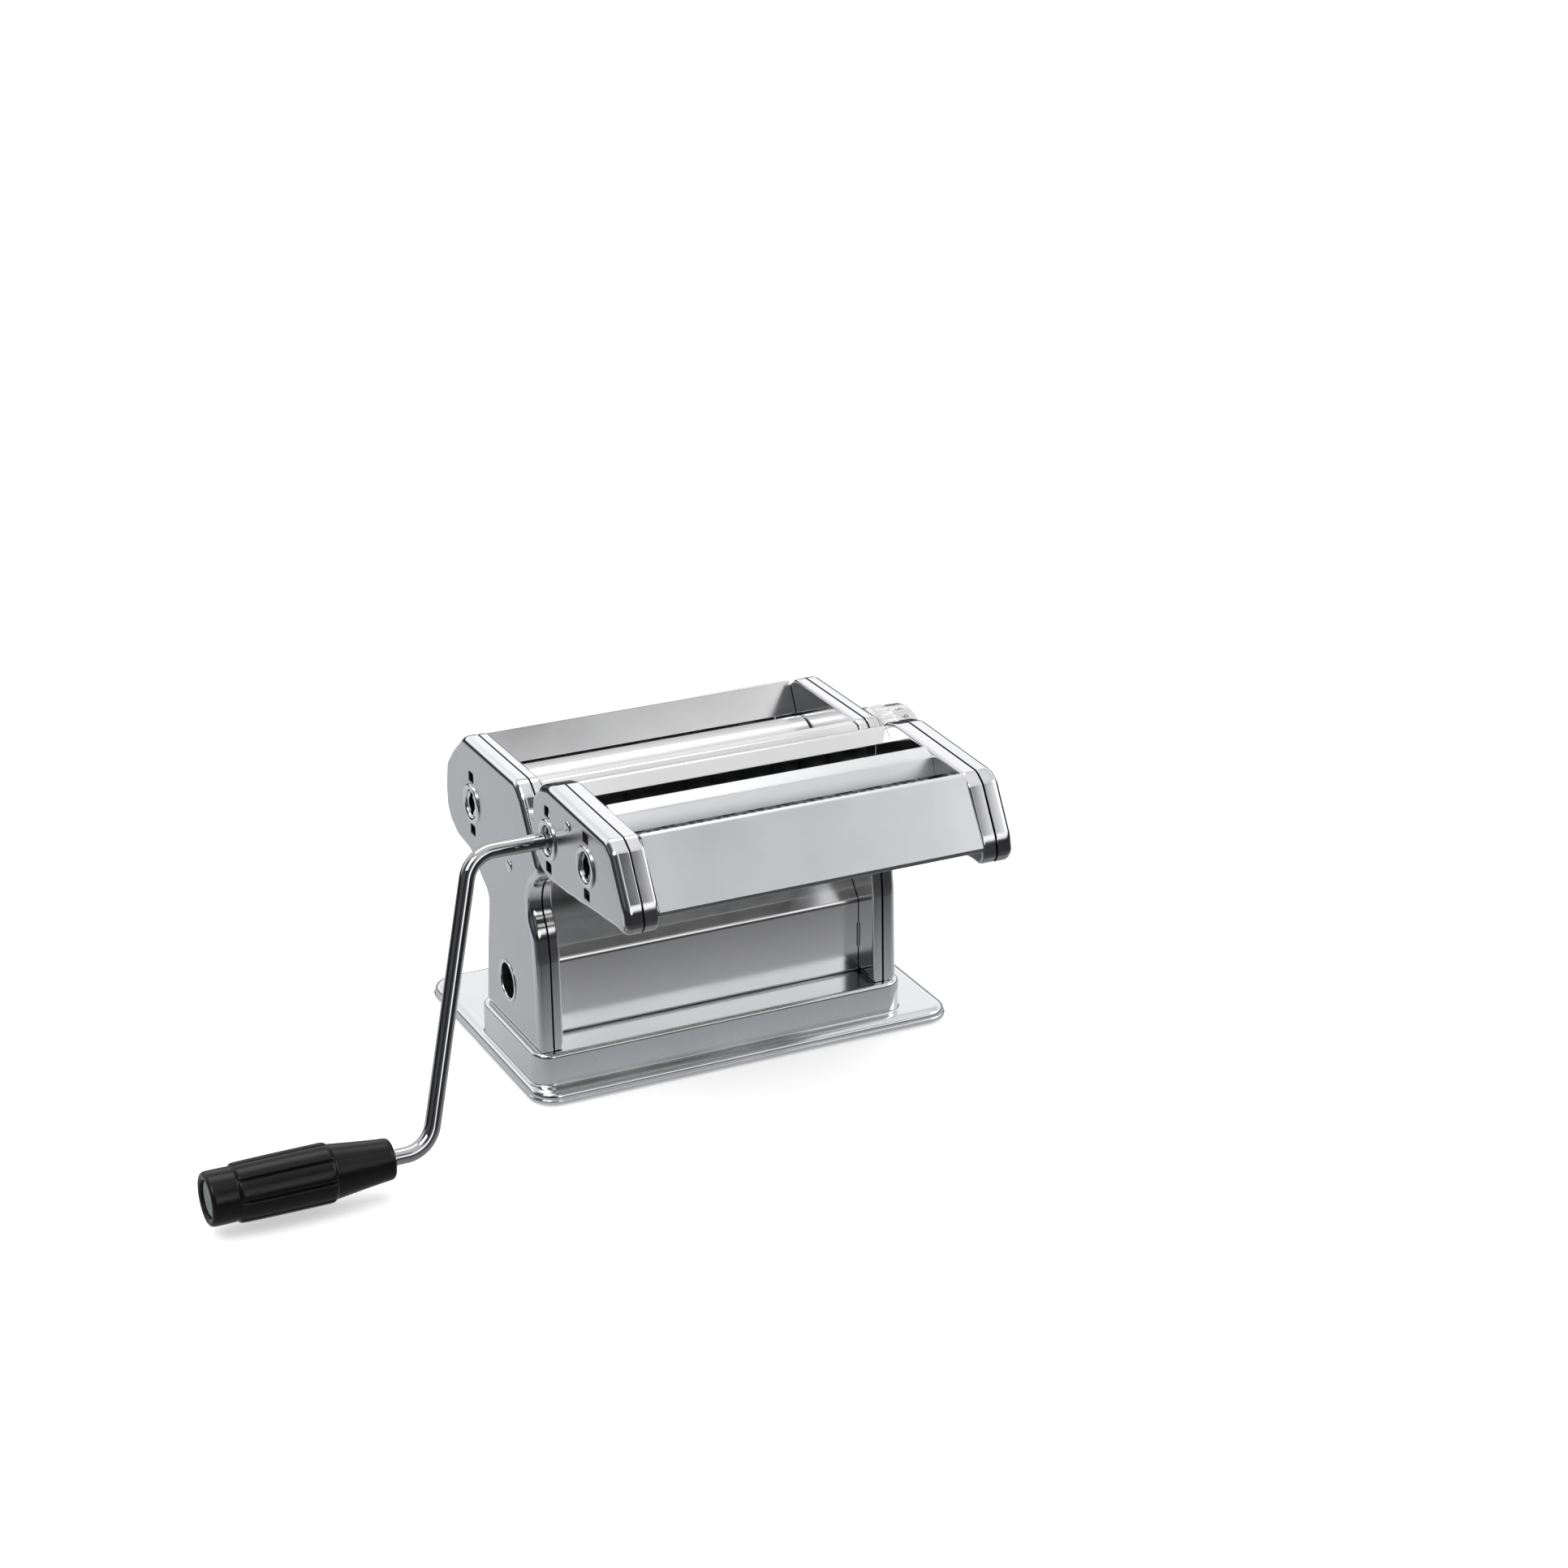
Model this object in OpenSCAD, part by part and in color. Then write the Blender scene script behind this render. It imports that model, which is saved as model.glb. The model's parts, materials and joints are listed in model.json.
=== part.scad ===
// Hand-cranked pasta roller machine: a pressed-steel body with a pair of
// smooth sheeting rollers, and a lift-off double cutter hung on its front.
// Frame: X runs along the rollers (crank on the -X side), the cutter is
// towards -Y, +Z is up, and the origin is on the table under the body.

/* [Base] */
// Reach of the base to the crank side of the centre plane
base_left = 94.2; // [93:0.1:110]
// Reach of the base to the regulator side of the centre plane
base_right = 112.8; // [100:0.1:125]
// Depth of the base plate, front to back
base_depth = 140.2; // [136:0.1:160]
// Height of the top of the base plate above the table
base_top = 6.7; // [5.8:0.1:9]
// Height of the stage that carries the legs, above the table
stage_top = 21.6; // [18:0.1:26]
// Stand-off of the rim above the table, given by the rubber pad
rim_z = 1; // [0.5:0.1:1.6]

/* [Body] */
// Distance between the two inner side plates
gap = 153.8; // [150:0.1:156]
// Outer face of the side covers from the centre plane
cover_face = 88.8; // [87.8:0.1:89.6]
// Thickness of the pressed sheet
sheet = 0.8; // [0.6:0.1:1.0]
// Diameter of the two smooth rollers
roller_d = 27; // [25:0.5:27]
// Diameter of the clamp sockets in the legs
clamp_d = 16; // [12:0.5:17]

/* [Cutter] */
// Outer face of the cutter caps from the centre plane
cap_face = 90; // [89.2:0.1:91]
// Outside diameter of the cutting discs
disc_d = 20; // [19.6:0.1:20]
// Width of the strips that the wide cutter makes
wide_w = 7; // [6.5:0.5:7]
// Width of the strips that the narrow cutter makes
narrow_w = 2; // [2:1:3]

/* [Crank] */
// Diameter of the crank rod
rod_d = 7; // [6:0.5:7.5]
// Radius of the crank, from the shaft to the grip
crank_r = 119.6; // [110:1:121]
// Outward slant of the crank arm along X
crank_slant = 35.7; // [10:0.1:45]
// Lean of the crank forward of straight down, at rest
crank_lean = 15.72; // [14.5:0.01:40]
// Length of the grip
grip_l = 80; // [70:0.1:95]

/* [Knob] */
// Diameter of the thickness regulator knob
knob_d = 46; // [36:1:47]
// Length of the knob
knob_l = 19; // [16:0.5:22]

/* [Hidden] */

e = 0.05;
xi = gap/2;                 // inner face of the side plates
t_plate = 1.5;              // side plates
x_gap = 81.4;               // outer edge of the side plates' flanges
x_cov = 82;                 // inner edge of the side covers

// roller and cutter axes, as [y, z]
ax_fixed = [12.7, 115];
gap_min = 0.3;
travel = 2.6;
ax_adj0 = [ax_fixed[0] - roller_d - gap_min - travel, 115];   // widest opening
ax_knob = [ax_adj0[0] + travel/2, 115];
cd = disc_d - 2.4;          // centre distance of a cutter pair
ax_wd = [-80.9, 132.5];
ax_wm = [-80.9 - cd, 132.5];
ax_nd = [-122.5, 136];
ax_nm = [-122.5 - cd, 136];

// outline of the body's side, as [y, z], from the front of the leg upwards
side_pts = [[-59, 21.7], [-58, 70], [-55.5, 79], [-49.5, 85], [-49, 92], [-53, 100.5],
  [-65.5, 109.5], [-46.5, 139.5], [-41, 144.5], [22, 144.5], [37, 133], [45, 125],
  [47.3, 112], [46.8, 102.5], [43, 96.5], [34, 91.2], [16.5, 89.3], [6, 81],
  [-2, 76.5], [2, 50], [5, 21.7]];
side_r = [0.6, 20, 10, 8, 8, 10, 5, 12, 8, 16, 14, 12, 12, 10, 10, 12, 14, 14, 10, 60, 0.6];

// outline of the cutter's side, as [y, z], from its tail round the underside
cut_pts = [[-61, 128], [-65, 119.5], [-71, 114.5], [-80, 112.6], [-93, 113.2], [-152, 119.2],
  [-160, 119], [-163, 124], [-161.5, 131], [-149, 152], [-143.5, 155.5], [-82, 157],
  [-72, 154.5], [-63, 146.5]];
cut_r = [10, 8, 8, 10, 30, 12, 4, 4, 14, 6, 5, 14, 10, 8];

// ---------- geometry helpers ----------
function unit(v) = v / norm(v);
function perp(v) = [-v[1], v[0]];

// polygon with each corner rounded by its own radius, n segments a corner
function rounded(p, r, n) = let (k = len(p)) [
  for (i = [0 : k - 1])
    let (a = unit(p[(i + k - 1) % k] - p[i]), b = unit(p[(i + 1) % k] - p[i]),
         ang = acos(max(-1, min(1, a * b))), half = ang / 2,
         lim = 0.48 * min(norm(p[(i + k - 1) % k] - p[i]), norm(p[(i + 1) % k] - p[i])),
         tl = min(r[i] / tan(half), lim), rr = tl * tan(half),
         c = p[i] + unit(a + b) * (rr / sin(half)),
         s = p[i] + a * tl - c, f = p[i] + b * tl - c,
         sweep = 180 - ang, sgn = (s[0] * f[1] - s[1] * f[0]) > 0 ? 1 : -1)
    for (j = [0 : n]) let (w = sgn * sweep * j / n)
      c + [s[0] * cos(w) - s[1] * sin(w), s[0] * sin(w) + s[1] * cos(w)]];

// clockwise outline (as the ones above) moved inwards by d
function inset(p, d) = let (k = len(p)) [
  for (i = [0 : k - 1])
    let (u = unit(p[i] - p[(i + k - 1) % k]), v = unit(p[(i + 1) % k] - p[i]),
         nu = -perp(u), nv = -perp(v), m = unit(nu + nv))
      p[i] + m * (d / (m * nu))];

// solid between rings of points, rings = [[level, points], ...]; the rings
// stack along X, or along Z when up is true
module skin(rings, up = false) {
  n = len(rings[0][1]);
  k = len(rings);
  polyhedron(
    points = [for (q = rings) for (p = q[1]) up ? [p[0], p[1], q[0]] : [q[0], p[0], p[1]]],
    faces = concat(
      [[for (i = [n - 1 : -1 : 0]) i]],
      [[for (i = [0 : n - 1]) (k - 1) * n + i]],
      [for (j = [0 : k - 2]) for (i = [0 : n - 1]) [j * n + i, j * n + (i + 1) % n, (j + 1) * n + (i + 1) % n]],
      [for (j = [0 : k - 2]) for (i = [0 : n - 1]) [j * n + i, (j + 1) * n + (i + 1) % n, (j + 1) * n + i]]));
}

// corner radii of the outline p after it is moved inwards by d
function inner_r(p, r, d) = let (k = len(p)) [
  for (i = [0 : k - 1])
    let (u = p[i] - p[(i + k - 1) % k], v = p[(i + 1) % k] - p[i])
      max(0.3, (u[0] * v[1] - u[1] * v[0]) < 0 ? r[i] - d : r[i] + d)];

// pressed sheet cup of thickness t, open at x0, with its face at x1 and the
// edge of the face rounded by re
module pressed(p, r, x0, x1, re, t, n = 3) {
  ri = re - t;
  q = concat([[x0, 0]],
    [for (w = [0, 30, 60, 90]) [x1 - re * (1 - sin(w)), re * (1 - cos(w))]],
    [[x1, re + 0.5], [x1 - t, re + 0.5]],
    [for (w = [90, 45, 0]) [x1 - t - ri * (1 - sin(w)), t + ri * (1 - cos(w))]],
    [[x0, t]]);
  k = len(q);
  rings = [for (c = q) rounded(inset(p, c[1]), inner_r(p, r, c[1]), n)];
  m = len(rings[0]);
  polyhedron(
    points = [for (j = [0 : k - 1]) for (v = rings[j]) [q[j][0], v[0], v[1]]],
    faces = concat(
      [for (j = [0 : k - 1]) let (b = (j + 1) % k) for (i = [0 : m - 1]) [j * m + i, j * m + (i + 1) % m, b * m + (i + 1) % m]],
      [for (j = [0 : k - 1]) let (b = (j + 1) % k) for (i = [0 : m - 1]) [j * m + i, b * m + (i + 1) % m, b * m + i]]));
  slab(rounded(inset(p, re + 0.25), inner_r(p, r, re + 0.25), n), x1 - t + 0.02, x1 - 0.02);
}

// prism along +X of a [y, z] outline
module slab(p, x0, x1) {
  translate([x0, 0, 0]) rotate([90, 0, 90]) linear_extrude(height = x1 - x0) polygon(p);
}

// bar along X on axis a = [y, z]
module bar(a, x0, x1, d) {
  translate([x0, a[0], a[1]]) rotate([0, 90, 0]) cylinder(h = x1 - x0, d = d, $fn = 48);
}

module hexbar(a, x0, x1, af) {
  translate([x0, a[0], a[1]]) rotate([0, 90, 0]) cylinder(h = x1 - x0, d = af / cos(30), $fn = 6);
}

// bent sheet along X: the open path p = [[y, z], ...] thickened by t to its left
function offset_path(p, t) = let (k = len(p)) [
  for (i = [0 : k - 1])
    let (u = i > 0 ? unit(p[i] - p[i - 1]) : unit(p[1] - p[0]),
         v = i < k - 1 ? unit(p[i + 1] - p[i]) : unit(p[k - 1] - p[k - 2]),
         nu = perp(u), nv = perp(v), m = unit(nu + nv))
      p[i] + m * (t / (m * nu))];
function reversed(p) = [for (i = [len(p) - 1 : -1 : 0]) p[i]];
module folded(p, t, x0, x1) { slab(concat(p, reversed(offset_path(p, t))), x0, x1); }

// the same with its bends rounded by r
module bent(p, r, t, x0, x1) { slab(rounded(concat(p, reversed(offset_path(p, t))), concat(r, reversed(r)), 3), x0, x1); }

module rotate_at(a, w) { translate([0, a[0], a[1]]) rotate([w, 0, 0]) translate([0, -a[0], -a[1]]) children(); }
module both() { for (s = [0, 1]) mirror([s, 0, 0]) children(); }
// slot along Y that a bar of diameter d travels in
module travel_slot(a, x0, x1, d) {
  bar(a, x0, x1, d);
  bar(a + [travel, 0], x0, x1, d);
  translate([x0, a[0], a[1] - d/2]) cube([x1 - x0, travel, d]);
}

// involute gear of n teeth and module m on axis a, teeth thinned by b, turned by g
function inv_pt(rb, w) = [rb * (cos(w) + w * PI / 180 * sin(w)), rb * (sin(w) - w * PI / 180 * cos(w))];
function rot(p, w) = [p[0] * cos(w) - p[1] * sin(w), p[0] * sin(w) + p[1] * cos(w)];
function flank(n, m, b, add) = let (rp = n * m / 2, rb = rp * cos(20), ra = rp + add, rr = rp - 1.2 * m,
    wa = sqrt(ra * ra / (rb * rb) - 1) * 180 / PI, wp = sqrt(rp * rp / (rb * rb) - 1) * 180 / PI,
    pp = inv_pt(rb, wp), ph = atan2(pp[1], pp[0]),
    th = 90 / n - b / rp * 90 / PI, rs = max(rb, rr))
  concat([rot([rr, 0], -th - ph)],
    [for (j = [0 : 4]) let (w = wa * j / 4) rot(inv_pt(rb, w), -th - ph)]);
module gear2d(n, m, b, add) {
  f = flank(n, m, b, add);
  polygon([for (i = [0 : n - 1]) for (q = concat(f, [for (k = reversed(f)) [k[0], -k[1]]])) rot(q, i * 360 / n)]);
}
module gear(a, x0, x1, n, m, b, add, bore, g) {
  difference() {
    translate([x0, a[0], a[1]]) rotate([90, 0, 90]) linear_extrude(height = x1 - x0) rotate([0, 0, g]) gear2d(n, m, b, add);
    bar(a, x0 - 1, x1 + 1, bore);
  }
}

// ---------- base ----------
function rect_pts(x0, x1, y0, y1) = [[x0, y0], [x0, y1], [x1, y1], [x1, y0]];
// rounded plate through rings [z, inset from the outline]
module rising(x0, x1, y0, y1, r, rings, n = 5) {
  skin([for (q = rings) [q[0], rounded(inset(rect_pts(x0, x1, y0, y1), q[1]),
    [for (i = [0 : 3]) max(0.5, r - q[1])], n)]], up = true);
}
stage_x = 91.2;             // half width of the stage
stage_y = [-62.5, 9.5];     // its front and back
screws = [-45, -8];
screw_x = 83.7;

module base_plate() {
  color("gainsboro") difference() {
    union() {
      rising(-base_left, base_right, -base_depth/2, base_depth/2, 12,
        [[rim_z, 0.9], [rim_z + 1.1, 0], [rim_z + 2.2, 0.2], [base_top - 2, 0.7], [base_top - 0.6, 1.9], [base_top, 3.6]]);
      rising(-stage_x, stage_x, stage_y[0], stage_y[1], 9,
        [[base_top - 0.3, -0.2], [base_top + 0.6, 0], [stage_top - 1, 0.1], [stage_top - 0.3, 0.4], [stage_top, 1.1]]);
    }
    rising(-base_left, base_right, -base_depth/2, base_depth/2, 12,
      [[rim_z - 1, 1.9], [rim_z + 1.8, 1.9], [base_top - 2.2, 2.4], [base_top - 1, 4.4]], 4);
    rising(-stage_x, stage_x, stage_y[0], stage_y[1], 9, [[base_top - 1.2, 1], [stage_top - 1, 1]], 4);
    for (s = [-1, 1]) for (y = screws) translate([s*screw_x, y, stage_top - 3]) cylinder(h = 6, d = 3.2, $fn = 32);
  }
}

module base_bottom_plate() {
  color("dimgray") translate([0, 0, rim_z + 0.6]) linear_extrude(height = 1.2)
    polygon(rounded(inset(rect_pts(-base_left, base_right, -base_depth/2, base_depth/2), 2.1), [10, 10, 10, 10], 6));
}

// rubber frame glued under the bottom plate
module non_slip_pad() {
  r = rect_pts(-base_left, base_right, -base_depth/2, base_depth/2);
  color("black") linear_extrude(height = rim_z + 0.56) difference() {
    polygon(rounded(inset(r, 4), [9, 9, 9, 9], 6));
    polygon(rounded(inset(r, 17), [4, 4, 4, 4], 6));
  }
}

module leg_screws() {
  color("silver") for (s = [-1, 1]) for (y = screws) translate([s*screw_x, y, 0]) {
    translate([0, 0, stage_top - 3]) cylinder(h = 6, d = 3, $fn = 32);
    translate([0, 0, stage_top - 4]) cylinder(h = 2.95, d = 6.2, $fn = 6);
    translate([0, 0, stage_top + 2.55]) cylinder(h = 2, d = 5.6, $fn = 32);
  }
}

// ---------- body ----------
rods = [[34, 105], [-46, 104], [-36.5, 31], [-4.5, 37]];
clamp_ax = [-23.5, 43.1];
rivet_ax = [-31, 101.4];
rail_ax = [-58.6, 111.8];
link_ax = [-37, 119.5];

// inner side plate with its flange, built for the +X side
module side_frame() {
  o = inset(side_pts, 0.5);
  difference() {
    slab(rounded(o, side_r, 4), xi, x_gap);
    slab(rounded(inset(o, 1.2), [for (r = side_r) max(0.4, r - 1.2)], 4), xi + t_plate, x_gap + 1);
    bar(ax_fixed, xi - 1, xi + 4, 16);
    travel_slot(ax_adj0, xi - 1, xi + 3, 10.6);
    travel_slot(link_ax, xi - 1, xi + 3, 4.6);
    for (a = rods) bar(a, xi - 1, xi + 3, 5);
    bar(clamp_ax, xi - 1, xi + 3, clamp_d + 2);
    bar(rivet_ax, xi - 1, xi + 3, 2.6);
    bar(rail_ax, xi - 1, xi + 3, 4);
    translate([xi - 1, -43.3, 34]) cube([4, 1.1, 12.2]);
  }
  difference() {
    translate([xi, -54, stage_top + 1.15]) cube([x_gap - xi + 4.5, 55, 1.35]);
    for (y = screws) translate([screw_x, y, stage_top - 1]) cylinder(h = 5, d = 3.2, $fn = 32);
  }
}
module side_frame_left() { color("silver") mirror([1, 0, 0]) side_frame(); }
module side_frame_right() { color("silver") side_frame(); }

// pressed outer cover, built for the +X side
module side_cover() {
  difference() {
    pressed(side_pts, side_r, x_cov, cover_face, 3.4, sheet);
    bar(clamp_ax, x_cov, cover_face + 1, clamp_d + 2);
    bar(rivet_ax, x_cov, cover_face + 1, 2.6);
    for (y = screws) translate([screw_x, y, stage_top - 1]) cylinder(h = 3, d = 3.2, $fn = 32);
  }
}
// opening for a drive socket, with the two small slots above and below it
module socket_opening(a, face) {
  bar(a, -face - 1, -x_cov, 16);
  for (s = [-1, 1]) translate([-face - 1, a[0] - 3, a[1] + s*12.7 - 2.5]) cube([4, 6, 5]);
}
module side_cover_left() {
  color("gainsboro") difference() {
    mirror([1, 0, 0]) side_cover();
    socket_opening(ax_fixed, cover_face);
  }
}
module side_cover_right() {
  color("gainsboro") difference() {
    side_cover();
    bar(ax_knob, x_cov, cover_face + 1, 16);
  }
}

// tubes in the legs that take the hook of the table clamp
module clamp_sockets() {
  color("silver") both() difference() {
    union() { bar(clamp_ax, xi - 8, cover_face - 0.1, clamp_d + 1.9); bar(clamp_ax, xi - 1.5, xi - e, clamp_d + 6); }
    bar(clamp_ax, xi - 9, cover_face + 1, clamp_d);
  }
}

module body_tie_rods() {
  color("silver") for (a = rods) {
    bar(a, -xi + e, xi - e, 7);
    both() bar(a, xi - 0.2, xi + 5, 4.9);
  }
}
module tie_rod_nuts() {
  color("silver") for (a = rods) both() difference() {
    hexbar(a, xi + t_plate + 0.02, xi + t_plate + 3.4, 8);
    bar(a, xi, xi + 6, 4.96);
  }
}
// rail across the nose of the body that the cutter hangs on
module front_rail() {
  color("silver") {
    bar(rail_ax, -xi + e, xi - e, 6);
    both() { bar(rail_ax, xi - 0.2, xi + t_plate + 0.5, 3.95); bar(rail_ax, xi + t_plate + 0.02, xi + t_plate + 1.2, 5.2); }
  }
}
module cover_rivets() {
  color("silver") both() {
    bar(rivet_ax, xi - 0.8, cover_face + e, 2.5);
    bar(rivet_ax, cover_face + 0.02, cover_face + 0.7, 4.2);
    bar(rivet_ax, xi - 1, xi - 0.02, 5);
    bar(rivet_ax, xi + t_plate + 0.02, cover_face - sheet - 0.02, 4.6);
  }
}

// sheet between the legs that leads the dough out to the front
module chute_plate() {
  color("silver") {
    bent([[-28, stage_top + 1], [-42.3, stage_top + 1], [-42.3, 57], [-38.6, 61.6], [-9, 92.8], [4.4, 98.6]],
      [0.2, 1.5, 4, 4, 6, 0.2], 0.9, -xi + 0.3, xi - 0.3);
    // tabs through the side plates
    both() translate([xi - 1, -43.2, 34.1]) cube([1 + t_plate, 0.9, 12]);
  }
}

// sheet over the back, from the hopper down to the stage
module rear_cover() {
  color("gainsboro") bent([[20.8, 127.6], [28.6, 142.6], [35.6, 132.7], [43.4, 124.2], [45.6, 112], [45.2, 103.2], [41.9, 97.8],
      [33.4, 92.6], [15.8, 90.8], [5, 82.4], [-3, 77.4], [0.8, 50], [3.7, stage_top + 0.1]],
    [0.2, 1.2, 12, 11, 11, 8, 8, 11, 12, 12, 8, 60, 0.2], -0.9, -xi + 0.3, xi - 0.3);
}

// sheet over the front of the head, from behind the rail up and into the hopper
module hopper_front_plate() {
  color("gainsboro") bent([[-51.5, 104.5], [-52, 128.8], [-46, 138.4], [-41.5, 142.7], [-36.6, 143.2], [-34, 141.2], [-28.6, 128.6]],
    [0.2, 4, 5, 3, 2, 2, 0.2], -0.9, -xi + 0.3, xi - 0.3);
}

module roller_core(a) {
  translate([-xi + 0.4, a[0], a[1]]) rotate([0, 90, 0]) rotate_extrude($fn = 96)
    polygon([[0, 0], [roller_d/2 - 0.6, 0], [roller_d/2, 0.6], [roller_d/2, gap - 1.4], [roller_d/2 - 0.6, gap - 0.8], [0, gap - 0.8]]);
}
// driven end of a shaft: a bore for the crank rod and a slot for its cross pin
module socket_cut(a, x0, depth) {
  bar(a, x0 - 1, x0 + depth, rod_d + 0.2);
  translate([x0 - 1, a[0] - 1.6, a[1] - 5.2]) cube([4.2, 3.2, 10.4]);
}
module roller_fixed() {
  color("white") difference() {
    union() {
      roller_core(ax_fixed);
      bar(ax_fixed, -cover_face, -xi + 1, 12);
      bar(ax_fixed, xi - 1, xi + 4.5, 12);
    }
    socket_cut(ax_fixed, -cover_face, 20);
  }
}
module roller_adjustable() {
  color("white") {
    roller_core(ax_adj0);
    bar(ax_adj0, -85.6, -xi + 1, 10);
    bar(ax_adj0, xi - 1, xi + t_plate + 2.2, 10);
  }
}
gz = 13;
gm = 2.1;
module gear_fixed_roller() { color("dimgray") gear(ax_fixed, -86, -81.7, gz, gm, 0.45, 0.8*gm, 12.06, 0); }
module gear_adjustable_roller() { color("dimgray") gear(ax_adj0, -85.4, -81.7, gz, gm, 0.45, 0.8*gm, 10.06, 0); }

module roller_bushes() {
  color("ivory") both() difference() {
    union() { bar(ax_fixed, xi - 0.3, xi + 2.6, 15.95); bar(ax_fixed, xi + t_plate + 0.02, xi + 2.6, 19); }
    bar(ax_fixed, xi - 1, xi + 5, 12.08);
  }
}
// ring pressed into an opening of the cover around a drive socket
module socket_ring(a, face) {
  difference() {
    union() { bar(a, -face - 1, -face - 0.02, 18.4); bar(a, -face - 1, -face + 1.6, 15.95); }
    bar(a, -face - 2, -face + 3, 12.5);
  }
}
module body_socket_ring() { color("silver") socket_ring(ax_fixed, cover_face); }

// wipers under the rollers that keep the dough from wrapping
module roller_scrapers() {
  color("whitesmoke") {
    slab([[ax_fixed[0] + 2, 100.9], [ax_fixed[0] + 8, 97.5], [ax_fixed[0] + 8, 95.4], [ax_fixed[0] - 1, 95.4], [ax_fixed[0] - 1, 97.5]], -xi + 0.4, xi - 0.4);
    slab([[ax_adj0[0] + 2.5, 100.6], [ax_adj0[0] + 3.5, 97.4], [ax_adj0[0] + 1, 96], [ax_adj0[0] - 8, 96], [ax_adj0[0] - 8, 97.8]], -xi + 0.4, xi - 0.4);
  }
}

// ---------- thickness adjustment ----------
plate_pts = [[-43, 114], [-43, 124], [-36, 128], [-13, 128], [-6.5, 121], [-6.5, 108], [-12, 101.5], [-22, 101.5], [-27, 109]];
x_adj = xi + t_plate + 0.1;
module adjuster() {
  difference() {
    slab(rounded(plate_pts, [4, 4, 5, 6, 6, 6, 5, 5, 5], 4), x_adj, x_adj + 2.4);
    bar(ax_adj0, x_adj - 1, x_adj + 4, 10.06);
    bar(link_ax, x_adj - 1, x_adj + 4, 4);
  }
}
ecc = 1.383;
ecc_a = 200;
ax_ecc = [ax_knob[0] + ecc*cos(ecc_a), ax_knob[1] + ecc*sin(ecc_a)];
module adjuster_plate_left() { color("silver") mirror([1, 0, 0]) adjuster(); }
// right plate: bearing for the roller, with a yoke round the spindle's cam
module adjuster_plate_right() {
  color("silver") {
    adjuster();
    difference() {
      translate([x_adj + 2.4, ax_ecc[0] - 10.4, 103.5]) cube([3.2, 20.8, 23]);
      translate([x_adj + 2.3, ax_ecc[0] - 8.2, 105.2]) cube([6, 16.4, 19.6]);
    }
  }
}
module adjuster_link_bar() {
  color("silver") {
    bar(link_ax, -xi + 1.5, xi - 1.5, 6);
    both() { bar(link_ax, xi - 1.6, x_adj + 2.6, 3.95); bar(link_ax, x_adj + 2.42, x_adj + 3.4, 5.6); }
  }
}
module regulator_spindle() {
  color("silver") {
    translate([81.3, ax_ecc[0], ax_ecc[1]]) rotate([0, 90, 0]) cylinder(h = 2.8, d = 16, $fn = 64);
    bar(ax_knob, 84, 91.2, 10);
    bar(ax_knob, 91.1, 113.5, 8);
    bar(ax_knob, 113.4, 114.8, 12.4);
    // key that turns the knob
    translate([92.5, ax_knob[0] - 1, ax_knob[1]]) cube([7.5, 2, 5.2]);
  }
}
knob_x0 = 91.4;
pin_r = 15.5;
// disc with the arc groove that limits the knob's turn and a dimple for each setting
module index_plate() {
  function at(w, r) = ax_knob + r*[-sin(w), cos(w)];
  function tip(w, s, q) = at(w, pin_r) + 1.4*[-s*sin(w)*cos(q) - s*cos(w)*sin(q), s*cos(w)*cos(q) - s*sin(w)*sin(q)];
  groove = concat([for (w = [-70 : 5 : 70]) at(w, pin_r + 1.4)], [for (q = [22.5 : 22.5 : 157.5]) tip(70, 1, q)],
    [for (w = [70 : -5 : -70]) at(w, pin_r - 1.4)], [for (q = [22.5 : 22.5 : 157.5]) tip(-70, -1, q)]);
  color("silver") difference() {
    union() {
      bar(ax_knob, cover_face + 0.02, cover_face + 1.4, 36);
      bar(ax_knob, 86, cover_face + 0.5, 15.95);
    }
    bar(ax_knob, 80, 95, 10.06);
    slab(groove, cover_face + 0.65, cover_face + 3);
    for (i = [0 : 9]) rotate_at(ax_knob, 140*i/9 - 70) bar(ax_knob + [0, pin_r], cover_face + 0.35, cover_face + 0.8, 1.8);
  }
}
module regulator_knob() {
  r = knob_d/2;
  l = 97.2 + knob_l - knob_x0;
  color("gainsboro") {
    difference() {
      translate([knob_x0, ax_knob[0], ax_knob[1]]) rotate([0, 90, 0]) rotate_extrude($fn = 96)
        polygon([[4.06, 0], [r - 6, 0], [r - 4, 1.2], [r - 2.2, 4.2], [r, 6], [r, l - 1.6], [r - 1.6, l], [8.2, l], [8.2, 10], [4.06, 10]]);
      translate([knob_x0 - 1, ax_knob[0] - 1.1, ax_knob[1]]) cube([12, 2.2, 5.4]);
    }
    // pin that runs in the index plate's groove
    rotate_at(ax_knob, -70) bar(ax_knob + [0, pin_r], cover_face + 0.7, knob_x0 + 0.5, 2.4);
  }
}
module knob_spring() {
  n = 6;
  turns = 5;
  ring = 12;
  r = 5.8;
  w = 0.6;
  x0 = knob_x0 + 10.7;
  x1 = 112.7;
  c = [for (i = [0 : turns*ring]) [x0 + (x1 - x0)*i/(turns*ring), 360*i/ring]];
  m = len(c);
  color("silver") translate([0, ax_knob[0], ax_knob[1]]) polyhedron(
    points = [for (q = c) for (j = [0 : n - 1]) [q[0] + w*sin(360*j/n), (r + w*cos(360*j/n))*cos(q[1]), (r + w*cos(360*j/n))*sin(q[1])]],
    faces = concat([[for (j = [n - 1 : -1 : 0]) j]], [[for (j = [0 : n - 1]) (m - 1)*n + j]],
      [for (i = [0 : m - 2]) for (j = [0 : n - 1]) [i*n + j, i*n + (j + 1)%n, (i + 1)*n + (j + 1)%n]],
      [for (i = [0 : m - 2]) for (j = [0 : n - 1]) [i*n + j, (i + 1)*n + (j + 1)%n, (i + 1)*n + j]]));
}

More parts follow.
